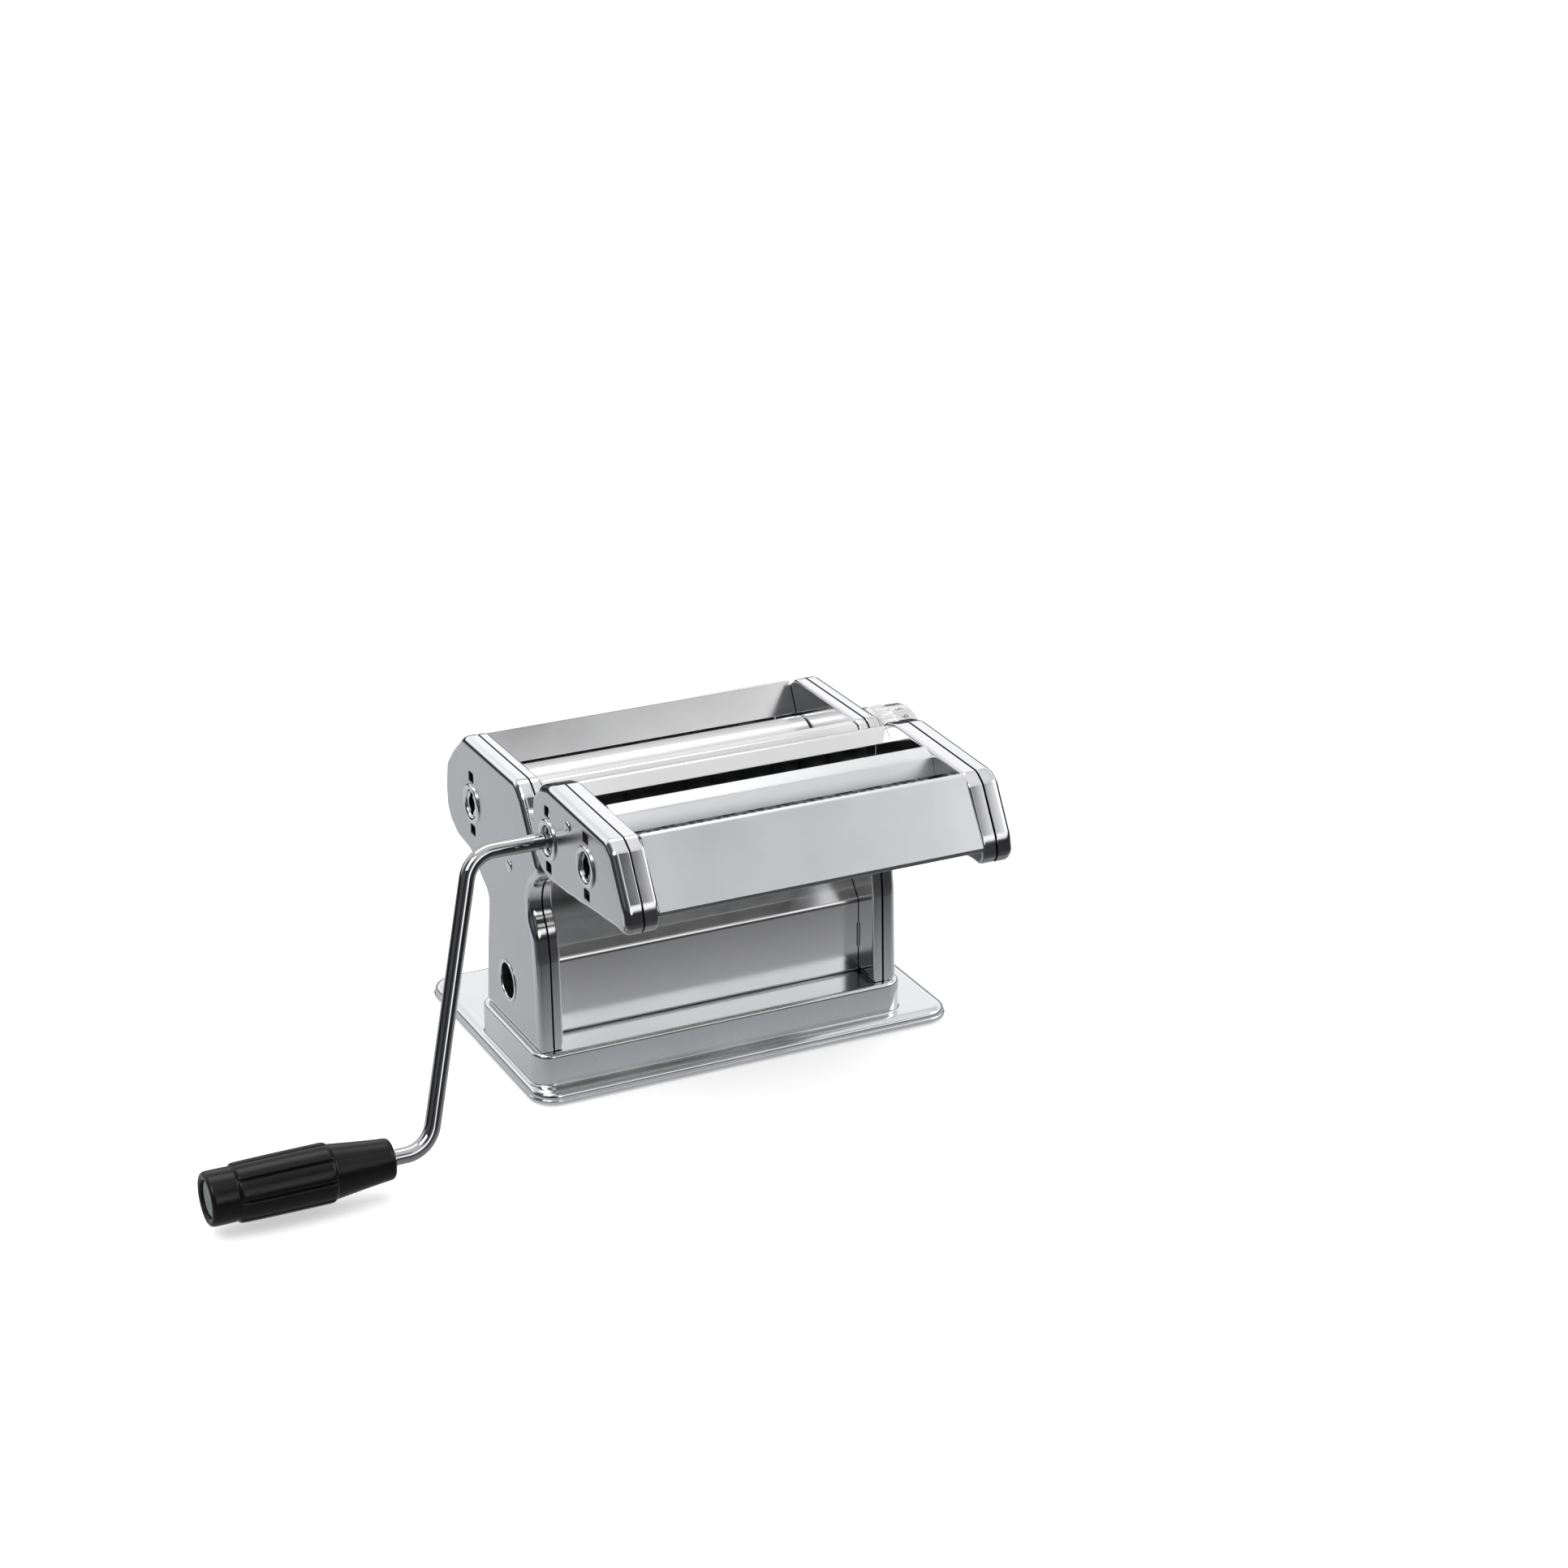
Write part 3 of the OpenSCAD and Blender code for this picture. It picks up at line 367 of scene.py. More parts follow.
def plastic(name, col, rough=(0.3, 0.42), coat=0.0, grain=900, bump=0.08, stain=0.12, spec=0.5):
    m, nt, b = new_mat(name)
    tc = nt.nodes.new("ShaderNodeTexCoord")
    co = tc.outputs["Object"]
    geo = nt.nodes.new("ShaderNodeNewGeometry")
    cloud = noise(nt, co, 60, 4, 0.6)
    fine = noise(nt, co, grain, 3, 0.6)
    c1 = mix_col(nt, ramp(nt, cloud, 0, 1), tuple(c * (1 - stain) for c in col), tuple(min(1, c * (1 + stain)) for c in col))
    edge = ramp(nt, geo.outputs["Pointiness"], 0.0, 0.35, 0.51, 0.58)
    c2 = mix_col(nt, edge, c1, tuple(min(1.0, c * 1.5 + 0.015) for c in col))
    nt.links.new(c2, b.inputs["Base Color"])
    nt.links.new(ramp(nt, cloud, rough[0], rough[1], 0.3, 0.7), b.inputs["Roughness"])
    b.inputs["Specular IOR Level"].default_value = spec
    b.inputs["Coat Weight"].default_value = coat
    b.inputs["Coat Roughness"].default_value = 0.12
    bp = nt.nodes.new("ShaderNodeBump")
    bp.inputs["Strength"].default_value = bump
    bp.inputs["Distance"].default_value = 0.0002
    nt.links.new(fine, bp.inputs["Height"])
    nt.links.new(bp.outputs[0], b.inputs["Normal"])
    return m


M_COVER = metal("cover steel", (0.60, 0.605, 0.62), (0.17, 0.24), None, 0.22, 0.05, 0.04, 0.10)
M_RIM = metal("polished rim", (0.74, 0.745, 0.755), (0.05, 0.10), None, 0.10, 0.03, 0.04, 0.10)
M_FRAME = metal("frame steel", (0.76, 0.76, 0.765), (0.08, 0.14), None, 0.12, 0.04, 0.04)
M_PLATE = metal("plate steel", (0.68, 0.69, 0.70), (0.285, 0.315), 0, 0.10, 0.03, 0.03)
M_GUIDE = metal("guide steel", (0.70, 0.705, 0.71), (0.285, 0.33), 0, 0.12, 0.03, 0.03)
# rough unpolished steel whose colour is darkened as painted shade for the covers' inner skin and hole walls
M_INSIDE_SHADE = metal("unpolished inside with painted shade", (0.16, 0.16, 0.165), (0.45, 0.6), None, 0.3, 0.08, 0.15)
# near-black steel as painted shade: bores and slots, and the seams between covers and frames
M_SHADE_BLACK = metal("painted shade black", (0.035, 0.035, 0.037), (0.35, 0.5), None, 0.3, 0.1, 0.2)
M_SHEET = metal("sheet steel", (0.78, 0.78, 0.78), (0.12, 0.18), 0, 0.12, 0.03, 0.02)
M_BASE = metal("base steel", (0.72, 0.725, 0.735), (0.10, 0.17), None, 0.15, 0.03, 0.04, 0.10, 0.06)
M_CHROME = metal("crank chrome", (0.50, 0.50, 0.505), (0.03, 0.07), None, 0.06, 0.02, 0.03)
M_RING = metal("socket ring", (0.78, 0.78, 0.78), (0.10, 0.18), None, 0.12, 0.04, 0.05)
M_ROLL = metal("roller metal", (0.80, 0.80, 0.80), (0.18, 0.25), 0, 0.16, 0.04, 0.03)
M_CUT = metal("cutting roller metal", (0.34, 0.34, 0.345), (0.25, 0.36), None, 0.2, 0.05, 0.08)
M_GEAR = metal("gear steel", (0.30, 0.30, 0.30), (0.3, 0.45), None, 0.3, 0.12, 0.2)
M_ZINC = metal("zinc plated", (0.55, 0.56, 0.58), (0.22, 0.34), None, 0.25, 0.08, 0.1)
M_KNOB = metal("knob aluminium", (0.80, 0.80, 0.80), (0.2, 0.25), None, 0.15, 0.05, 0.04)
M_BUSH = plastic("bush nylon", (0.72, 0.69, 0.60), (0.4, 0.5))
M_SCRAPER = plastic("scraper nylon", (0.75, 0.75, 0.70), (0.4, 0.5))
M_RUBBER = plastic("pad rubber", (0.03, 0.03, 0.03), (0.6, 0.75), 0, 1200, 0.3)
M_GRIP = plastic("grip plastic", (0.0025, 0.0025, 0.003), (0.20, 0.30), 0.0, 1400, 0.05, 0.2, 0.26)
M_INSERT = plastic("grip insert plastic", (0.13, 0.155, 0.14), (0.4, 0.5), 0, 900, 0.1)
M_PAINT = plastic("dial paint", (0.08, 0.08, 0.09), (0.4, 0.5))

CAD_MATERIALS = {
    "base_bottom_plate": (M_ZINC, "sheet_steel"), "non_slip_pad": (M_RUBBER, "rubber"),
    "leg_screws": (M_ZINC, "fasteners"), "body_tie_rods": (M_ZINC, "fasteners"),
    "tie_rod_nuts": (M_ZINC, "fasteners"), "front_rail": (M_ZINC, "fasteners"),
    "roller_bushes": (M_BUSH, "bushes"), "roller_scrapers": (M_SCRAPER, "scrapers"),
    "gear_fixed_roller": (M_GEAR, "gears"), "gear_adjustable_roller": (M_GEAR, "gears"),
    "adjuster_plate_left": (M_ZINC, "fasteners"), "adjuster_plate_right": (M_ZINC, "fasteners"),
    "adjuster_link_bar": (M_ZINC, "fasteners"), "regulator_spindle": (M_ZINC, "fasteners"),
    "knob_spring": (M_ZINC, "fasteners"), "index_plate": (M_RING, "polished_steel"),
    "cutter_tie_rods": (M_ZINC, "fasteners"), "cutter_bushes": (M_BUSH, "bushes"),
    "gear_wide_drive": (M_GEAR, "gears"), "gear_wide_mate": (M_GEAR, "gears"),
    "gear_narrow_drive": (M_GEAR, "gears"), "gear_narrow_mate": (M_GEAR, "gears"),
    "wide_comb": (M_SCRAPER, "scrapers"), "narrow_comb": (M_SCRAPER, "scrapers"),
    "roller_fixed": (M_ROLL, "rollers"), "roller_adjustable": (M_ROLL, "rollers"),
    "wide_cutter_drive": (M_CUT, "cutting_rollers"), "wide_cutter_mate": (M_CUT, "cutting_rollers"),
    "narrow_cutter_drive": (M_CUT, "cutting_rollers"), "narrow_cutter_mate": (M_CUT, "cutting_rollers"),
}
for name, (mat, slot_name) in CAD_MATERIALS.items():
    ob = NODES[name]
    if not ob.data.materials:
        ob.data.materials.append(mat)
    for s in ob.material_slots:
        s.material = mat

# ------------------------------------------------------------------ pressed covers


def slot_loops(y, z):
    """the two small openings above and below a drive socket"""
    return [lambda d, q=q: rrect(y - 3 - d, y + 3 + d, z + q * 12.7 - 2.5 - d, z + q * 12.7 + 2.5 + d, 1.0 + d) for q in (-1, 1)]


def cover(name, node, pts, r, x1, re, holes, side, mat, n=9, dish=0.0):
    """pressed sheet cup: open edge at X_COV, flat face at x1 with rounded rim, holes as loop functions"""
    bm = bmesh.new()
    t = SHEET
    arc = 12
    q = [(X_COV, 0.22), (X_COV + 0.08, 0.07), (X_COV + 0.25, 0.0), (x1 - re - 0.6, 0.0)]
    q += [(x1 - re * (1 - math.sin(w)), re * (1 - math.cos(w))) for w in [math.pi / 2 * k / arc for k in range(arc + 1)]]
    q += [(x1, re + 0.5)]
    outer = [ring(bm, [(side * x, v[0], v[1]) for v in offset_outline(pts, r, d, n)]) for x, d in q]
    for a, b in zip(outer, outer[1:]):
        join(bm, a, b)
    ri = re - t
    q2 = [(x1 - t - ri * (1 - math.sin(w)), t + ri * (1 - math.cos(w))) for w in [math.pi / 2 * k / 5 for k in range(5, -1, -1)]]
    q2 += [(X_COV + 0.2, t), (X_COV, t - 0.2)]
    inner = [ring(bm, [(side * x, v[0], v[1]) for v in offset_outline(pts, r, d, n)]) for x, d in q2]
    for a, b in zip(inner, inner[1:]):
        join(bm, a, b)
    join(bm, inner[-1], outer[0])
    front, back = [outer[-1]], [inner[0]]
    walls = []
    for h in holes:
        rings = [ring(bm, [(side * x, v[0], v[1]) for v in h(d)]) for x, d in
                 ((x1, 0.22), (x1 - 0.05, 0.08), (x1 - 0.15, 0.0), (x1 - t, 0.0))]
        for a, b in zip(rings, rings[1:]):
            join(bm, a, b)
        walls += rings[2:]
        front.append(rings[0])
        back.append(rings[-1])
    fill(bm, front, (side, 0, 0))
    fill(bm, back, (-side, 0, 0))
    # inner skin and hole walls take the darkened inside steel as painted shade, the open edge at the seam takes the
    # near-black steel as a painted dark seam line, the rim rounding takes the polished steel
    dark = {v for rr in inner for v in rr} | {v for rr in walls for v in rr}
    edge = {v for rr in outer[:2] for v in rr} | {v for v in inner[-1]}
    shiny = {v for rr in outer[1:-2] for v in rr}
    for f in bm.faces:
        vs = f.verts
        f.material_index = 1 if all(v in dark for v in vs) else 3 if all(v in edge for v in vs) else 2 if all(v in shiny for v in vs) else 0
    return finish_mesh(name, bm, node, [mat, M_INSIDE_SHADE, M_RIM, M_SHADE_BLACK], 35)


def hole(a, d):
    return lambda g, a=a, d=d: circle(a, d / 2 + g, 40)


cover("cover_left", "side_cover_left", SIDE, SIDE_R, COVER, 3.4,
      [hole(CLAMP, 18), hole(RIVET, 2.6), hole(AX_FIXED, 16)] + slot_loops(*AX_FIXED), -1, M_COVER)
cover("cover_right", "side_cover_right", SIDE, SIDE_R, COVER, 3.4,
      [hole(CLAMP, 18), hole(RIVET, 2.6), hole(AX_KNOB, 16)], 1, M_COVER)
cover("cap_left", "cutter_cap_left", CUT, CUT_R, CAP, 3.6,
      [hole(CAP_PIN, 3), hole(AX_WD, 16), hole(AX_ND, 16)] + slot_loops(*AX_WD) + slot_loops(*AX_ND), -1, M_COVER)
cover("cap_right", "cutter_cap_right", CUT, CUT_R, CAP, 3.6, [hole(CAP_PIN, 3)], 1, M_COVER)


def flanged(name, node, pts, r, xi, holes, side, foot=False, n=8):
    """side plate with a flange turned out along its whole outline"""
    bm = bmesh.new()
    base = inset(pts, 0.15)
    rr = r
    q = [(xi + 1.0, 0.3 + 0.0), (xi + 0.3, 0.3), (xi, 0.6)]
    rings = []
    for x, d in [(X_GAP - 0.25, 0.0), (xi + 1.2, 0.0), (xi + 0.5, 0.2), (xi + 0.12, 0.6), (xi, 1.2), (xi, 1.6)]:
        rings.append(ring(bm, [(side * x, v[0], v[1]) for v in rounded(inset(base, d), inner_r(base, rr, d), n)]))
    for a, b in zip(rings, rings[1:]):
        join(bm, a, b)
    inner = []
    for x, d in [(xi + T_PLATE, 1.8), (xi + T_PLATE, 1.5), (xi + T_PLATE + 0.3, 1.2), (X_GAP - 0.2, 1.2), (X_GAP, 1.0), (X_GAP, 0.2)]:
        inner.append(ring(bm, [(side * x, v[0], v[1]) for v in rounded(inset(base, d), inner_r(base, rr, d), n)]))
    for a, b in zip(inner, inner[1:]):
        join(bm, a, b)
    join(bm, inner[-1], rings[0])
    front, back = [rings[-1]], [inner[0]]
    for h in holes:
        p = h(0)
        a = ring(bm, [(side * xi, v[0], v[1]) for v in p])
        b = ring(bm, [(side * (xi + T_PLATE), v[0], v[1]) for v in p])
        join(bm, a, b)
        front.append(a)
        back.append(b)
    fill(bm, front, (-side, 0, 0))
    fill(bm, back, (side, 0, 0))
    # the back of the plate and flange and the flange's edge take the near-black steel: painted shade, with a painted
    # dark seam line at the flange edge
    painted_shade_faces = {v for q in inner + [rings[0]] for v in q}
    for f in bm.faces:
        f.material_index = 1 if all(v in painted_shade_faces for v in f.verts) else 0
    if foot:
        lo, hi = (min(side * xi, side * 85.9), -54, 22.75), (max(side * xi, side * 85.9), 1, 24.1)
        add_box(bm, lo, hi, 0.2)
    return finish_mesh(name, bm, node, [M_FRAME, M_SHADE_BLACK], 35)


BODY_HOLES = [hole(AX_FIXED, 16), lambda g: stadium(AX_ADJ, 10.6, 2.6), lambda g: stadium(LINK, 4.6, 2.6),
              hole(CLAMP, 18), hole(RIVET, 2.6), hole(RAIL, 4)] + [hole(a, 5) for a in RODS]
BODY_HOLES.append(lambda g: rrect(-43.3, -42.2, 34, 46.2, 0.3, 2))
CUT_HOLES = [hole(a, 14.5) for a in (AX_WD, AX_WM, AX_ND, AX_NM)] + [hole(a, 4) for a in CRODS] + [hole(CAP_PIN, 3)]
for a, s in ((AX_WD, 1), (AX_WM, -1), (AX_ND, 1), (AX_NM, -1)):
    y0 = a[0] + (2 if s > 0 else -8)
    CUT_HOLES.append(lambda g, y0=y0, z0=a[1] - 14.5: rrect(y0 - 0.05, y0 + 6.05, z0 - 0.05, z0 + 3.05, 0.2, 2))
for s, w in ((-1, "left"), (1, "right")):
    flanged("frame_" + w, "side_frame_" + w, SIDE, SIDE_R, XI, BODY_HOLES, s, foot=True)
    flanged("cutter_side_" + w, "cutter_frame_" + w, CUT, CUT_R, CXI, CUT_HOLES, s)

# ------------------------------------------------------------------ base


def rect_pts(x0, x1, y0, y1):
    return [(x0, y0), (x0, y1), (x1, y1), (x1, y0)]


def plan(x0, x1, y0, y1, r, d, n=14):
    return rounded(inset(rect_pts(x0, x1, y0, y1), d), [max(0.5, r - d)] * 4, n)


BASE = (-94.2, 112.8, -70.1, 70.1, 12)
STAGE = (-91.2, 91.2, -62.5, 9.5, 9)


def base_piece():
    bm = bmesh.new()
    # outside, from the lower rim up to the flat top: a round lower bead, a
    # narrow groove and an upper roll, as a pressed tray has
    prof = [(1.0, 1.15), (1.05, 0.75), (1.25, 0.35), (1.6, 0.1), (2.1, 0.0), (2.6, 0.05), (2.95, 0.25), (3.15, 0.5),
            (3.35, 0.62), (3.6, 0.6), (4.0, 0.62), (4.6, 0.75), (5.1, 1.0), (5.6, 1.4), (6.0, 1.95), (6.35, 2.6),
            (6.6, 3.4), (6.7, 4.2), (6.7, 5.6)]
    outer = [ring(bm, [(v[0], v[1], z) for v in plan(*BASE, d)]) for z, d in prof]
    for a, b in zip(outer, outer[1:]):
        join(bm, a, b)
    st = [(6.7, -1.2), (6.75, -0.7), (6.95, -0.25), (7.4, 0.0), (9, 0.02), (19.6, 0.1), (20.4, 0.16), (20.9, 0.4), (21.3, 0.75), (21.5, 1.2), (21.6, 1.8), (21.6, 3.0)]
    stage = [ring(bm, [(v[0], v[1], z) for v in plan(*STAGE, d)]) for z, d in st]
    for a, b in zip(stage, stage[1:]):
        join(bm, a, b)
    fill(bm, [outer[-1], stage[0]], (0, 0, 1))
    screws = [ring(bm, [(s * 83.7 + 1.6 * math.cos(2 * math.pi * i / 24), y + 1.6 * math.sin(2 * math.pi * i / 24), 21.6) for i in range(24)])
              for s in (-1, 1) for y in (-45, -8)]
    screws2 = [ring(bm, [(s * 83.7 + 1.6 * math.cos(2 * math.pi * i / 24), y + 1.6 * math.sin(2 * math.pi * i / 24), 20.6) for i in range(24)])
               for s in (-1, 1) for y in (-45, -8)]
    fill(bm, [stage[-1]] + screws, (0, 0, 1))
    # inside
    inn = [ring(bm, [(v[0], v[1], z) for v in plan(*BASE, d)]) for z, d in [(1.0, 1.7), (1.2, 1.9), (2.8, 1.9), (4.5, 2.4), (5.3, 3.4), (5.6, 5.0)]]
    for a, b in zip(inn, inn[1:]):
        join(bm, a, b)
    join(bm, outer[0], inn[0])
    sin_ = [ring(bm, [(v[0], v[1], z) for v in plan(*STAGE, d)]) for z, d in [(5.6, 1.0), (19.8, 1.0), (20.4, 1.3), (20.6, 1.9)]]
    for a, b in zip(sin_, sin_[1:]):
        join(bm, a, b)
    fill(bm, [inn[-1], sin_[0]], (0, 0, -1))
    fill(bm, [sin_[-1]] + screws2, (0, 0, -1))
    for a, b in zip(screws, screws2):
        join(bm, a, b)
    return finish_mesh("base_tray", bm, "base_plate", M_BASE, 40)


base_piece()

# ------------------------------------------------------------------ bent sheets


def offset_path(p, t):
    out = []
    for i in range(len(p)):
        u = unit((p[i][0] - p[i - 1][0], p[i][1] - p[i - 1][1])) if i else unit((p[1][0] - p[0][0], p[1][1] - p[0][1]))
        v = unit((p[i + 1][0] - p[i][0], p[i + 1][1] - p[i][1])) if i < len(p) - 1 else u
        nu, nv = (-u[1], u[0]), (-v[1], v[0])
        m = unit((nu[0] + nv[0], nu[1] + nv[1]))
        s = t / (m[0] * nu[0] + m[1] * nu[1])
        out.append((p[i][0] + m[0] * s, p[i][1] + m[1] * s))
    return out


def prism_into(bm, loop, x0, x1, edge=0.18):
    """outline in (y, z) carried along X, with flat ends"""
    area = sum(loop[i - 1][0] * loop[i][1] - loop[i][0] * loop[i - 1][1] for i in range(len(loop)))
    cw = loop if area < 0 else loop[::-1]
    clean = []
    for p in cw:
        if not clean or math.hypot(p[0] - clean[-1][0], p[1] - clean[-1][1]) > 0.01:
            clean.append(p)
    if math.hypot(clean[0][0] - clean[-1][0], clean[0][1] - clean[-1][1]) < 0.01:
        clean.pop()
    xs = [x0 + (x1 - x0) * k / 12 for k in range(13)]
    rings = [ring(bm, [(x, v[0], v[1]) for v in clean]) for x in xs]
    for a, b in zip(rings, rings[1:]):
        join(bm, a, b)
    fill(bm, [rings[0]], (-1, 0, 0))
    fill(bm, [rings[-1]], (1, 0, 0))


def bent(name, node, path, r, t, half, mat, extra=None, n=8):
    bm = bmesh.new()
    loop = rounded(list(path) + offset_path(path, t)[::-1], list(r) + list(r)[::-1], n)
    prism_into(bm, loop, -half, half)
    if extra:
        extra(bm)
    return finish_mesh(name, bm, node, mat, 40, doubles=0.0000005)


def chute_tabs(bm):
    for s in (-1, 1):
        a, b = s * 75.9, s * 78.4
        add_box(bm, (min(a, b), -43.2, 34.1), (max(a, b), -42.3, 46.1), 0.1)


def hooks(bm):
    shape = [(-63.6, 125.4), (-62.2, 125.4), (-53.9, 119), (-53.9, 109.8), (-55.5, 109.8), (-55.5, 114.9),
             (-61.7, 114.9), (-61.7, 109.8), (-63.4, 109.8), (-64.8, 119)]
    loop = rounded(shape, [0.3, 0.3, 3, 0.5, 0.5, 1.5, 1.5, 0.5, 0.5, 3], 4)
    for s in (-1, 1):
        prism_into(bm, loop, min(48 * s, 62 * s), max(48 * s, 62 * s))


bent("chute", "chute_plate", [(-28, 22.6), (-42.3, 22.6), (-42.3, 57), (-38.6, 61.6), (-9, 92.8), (4.4, 98.6)],
     [0.2, 1.5, 4, 4, 6, 0.2], 0.9, 76.6, M_SHEET, chute_tabs)
bent("back_sheet", "rear_cover", [(20.8, 127.6), (28.6, 142.6), (35.6, 132.7), (43.4, 124.2), (45.6, 112), (45.2, 103.2), (41.9, 97.8),
     (33.4, 92.6), (15.8, 90.8), (5, 82.4), (-3, 77.4), (0.8, 50), (3.7, 21.7)],
     [0.2, 1.2, 12, 11, 11, 8, 8, 11, 12, 12, 8, 60, 0.2], -0.9, 76.6, M_SHEET)
bent("hopper_sheet", "hopper_front_plate", [(-51.5, 104.5), (-52, 128.8), (-46, 138.4), (-41.5, 142.7), (-36.6, 143.2), (-34, 141.2), (-28.6, 128.6)],
     [0.2, 4, 5, 3, 2, 2, 0.2], -0.9, 76.6, M_SHEET)
bent("front_plate", "cutter_front_plate", [(-159.6, 127.2), (-160.8, 126), (-162.4, 126.2), (-163, 128.2), (-145.6, 155.2), (-144, 155.9), (-142.6, 154.8), (-142.8, 153.2)],
     [0.2, 0.6, 0.8, 0.9, 1.2, 0.9, 0.6, 0.2], -0.9, 74.8, M_PLATE)
bent("guide_plate", "cutter_guide_plate", [(-104.6, 145.6), (-110.4, 155.5), (-115.6, 152.9), (-118.4, 145.6)],
     [0.2, 1, 1.6, 0.2], -0.9, 74.8, M_GUIDE)
bent("saddle_plate", "cutter_rear_plate", [(-64, 119.4), (-61.6, 127.4), (-63.4, 146), (-71.6, 153.8), (-78.6, 147.6)],
     [0.2, 8, 6, 3, 0.2], 0.9, 74.8, M_SHEET, hooks)

# ------------------------------------------------------------------ rollers


def turned(name, node, a, prof, mat, n=96, sharp=35, r=0.25):
    bm = bmesh.new()
    lathe_into(bm, a, soft_profile(prof, r), n)
    return finish_mesh(name, bm, node, mat, sharp, weighted=True)


def socket_head(bm, a, x0, r, depth=20, n=96):
    """driven shaft end at x0: bore with a slot for the cross pin; returns the ring of the shaft's edge"""
    rb = 3.6
    sy, sz = 1.6, 5.2

    def radius(w):
        # outline of the opening: bore joined with the slot along Z
        c, s = abs(math.cos(w)), abs(math.sin(w))
        out = rb
        if c > 1e-9:
            t = min(sy / c, sz / s if s > 1e-9 else 1e9)
        else:
            t = sz
        return max(out, t)
    angles = [2 * math.pi * i / n for i in range(n)]
    def open_ring(x, g=0.0):
        return ring(bm, [(x, a[0] + (radius(w) + g) * math.cos(w), a[1] + (radius(w) + g) * math.sin(w)) for w in angles])
    edge = ring(bm, [(x0 + 0.35, a[0] + r * math.cos(w), a[1] + r * math.sin(w)) for w in angles])
    e2 = ring(bm, [(x0 + 0.1, a[0] + (r - 0.1) * math.cos(w), a[1] + (r - 0.1) * math.sin(w)) for w in angles])
    e3 = ring(bm, [(x0, a[0] + (r - 0.35) * math.cos(w), a[1] + (r - 0.35) * math.sin(w)) for w in angles])
    o1 = open_ring(x0, 0.12)
    o2 = open_ring(x0 + 0.15)
    o3 = open_ring(x0 + 3.2)
    b1 = ring(bm, [(x0 + 3.2, a[0] + rb * math.cos(w), a[1] + rb * math.sin(w)) for w in angles])
    b2 = ring(bm, [(x0 + depth, a[0] + rb * math.cos(w), a[1] + rb * math.sin(w)) for w in angles])
    cen = bm.verts.new(Vector((x0 + depth, a[0], a[1])) * MM)
    for p, q in ((edge, e2), (e2, e3), (e3, o1), (o1, o2), (o2, o3), (o3, b1), (b1, b2)):
        join(bm, p, q)
    for i in range(n):
        bm.faces.new((b2[i], b2[(i + 1) % n], cen))
    # the bore and slot walls take the near-black steel: painted shade inside the recess
    inside = {v for rr in (o1, o2, o3, b1, b2) for v in rr} | {cen}
    for f in bm.faces:
        if all(v in inside for v in f.verts):
            f.material_index = 1
    return edge


def driven(name, node, a, x0, r, prof, mat, n=96):
    """roller whose left shaft ends in a socket; prof runs from the shaft rightwards"""
    bm = bmesh.new()
    edge = socket_head(bm, a, x0, r, n=n)
    rings = lathe_into(bm, a, soft_profile(prof, 0.25), n)
    join(bm, edge, rings[0])
    return finish_mesh(name, bm, node, [mat, M_SHADE_BLACK], 35)


R = 13.5
driven("roller_driven", "roller_fixed", AX_FIXED, -COVER, 6,
       [(-88.3, 6), (-76.5, 6), (-76.5, R - 0.6), (-75.9, R), (75.9, R), (76.5, R - 0.6), (76.5, 6), (81.4, 6), (81.4, 0)], M_ROLL)
turned("roller_follower", "roller_adjustable", AX_ADJ,
       [(-85.6, 0), (-85.6, 5), (-76.5, 5), (-76.5, R - 0.6), (-75.9, R), (75.9, R), (76.5, R - 0.6), (76.5, 5), (80.6, 5), (80.6, 0)], M_ROLL)

CUT_L = 73.6


def disc_profile(w, shift, x_left, r_left, with_end=True):
    pitch = 2 * w
    nn = int(math.floor((2 * CUT_L - w) / pitch))
    xs = -(nn * pitch - w) / 2 + (w if shift else 0) - w / 2
    p = [(x_left, r_left), (-CUT_L, r_left), (-CUT_L, 7.5)]
    for i in range(nn):
        x = xs + 0.05 + i * pitch
        p += [(x, 7.5), (x, 10), (x + w - 0.1, 10), (x + w - 0.1, 7.5)]
    p += [(CUT_L, 7.5), (CUT_L, 4), (84.4, 4), (84.4, 0)]
    return p


def cutting(name, node, a, w, shift, driven_end):
    n = 64
    bm = bmesh.new()
    if driven_end:
        edge = socket_head(bm, a, -CAP + 0.2, 6, n=n)
        rings = lathe_into(bm, a, soft_profile(disc_profile(w, shift, -89.2, 6), 0.12, 2), n)
        join(bm, edge, rings[0])
    else:
        lathe_into(bm, a, soft_profile([(-77.6, 0)] + disc_profile(w, shift, -77.6, 4), 0.12, 2), n)
    return finish_mesh(name, bm, node, [M_CUT, M_SHADE_BLACK], 35, weighted=False)


cutting("wide_roller_a", "wide_cutter_drive", AX_WD, 7, 0, True)
cutting("wide_roller_b", "wide_cutter_mate", AX_WM, 7, 1, False)
cutting("narrow_roller_a", "narrow_cutter_drive", AX_ND, 2, 0, True)
cutting("narrow_roller_b", "narrow_cutter_mate", AX_NM, 2, 1, False)

# ------------------------------------------------------------------ small turned pieces


def ring_profile(face):
    return [(-face - 0.02, 9.2), (-face - 0.55, 9.2), (-face - 1.0, 8.6), (-face - 1.0, 7.4), (-face - 0.5, 6.5), (-face + 0.3, 6.25),
            (-face + 1.6, 6.25), (-face + 1.6, 7.97), (-face - 0.02, 7.97), (-face - 0.02, 9.2)]


def closed_lathe(bm, a, prof, n=72):
    lathe_into(bm, a, prof, n)


def dome(x0, x1, r, n=7):
    """rivet head from its seat at x0 to its crown at x1"""
    h = x1 - x0
    p = [(x0, 0), (x0, r - 0.1), (x0 + h * 0.12, r)]
    for k in range(1, n + 1):
        w = math.pi / 2 * k / n
        p.append((x0 + h * (0.12 + 0.88 * math.sin(w)), r * math.cos(w) if k < n else 0))
    return p


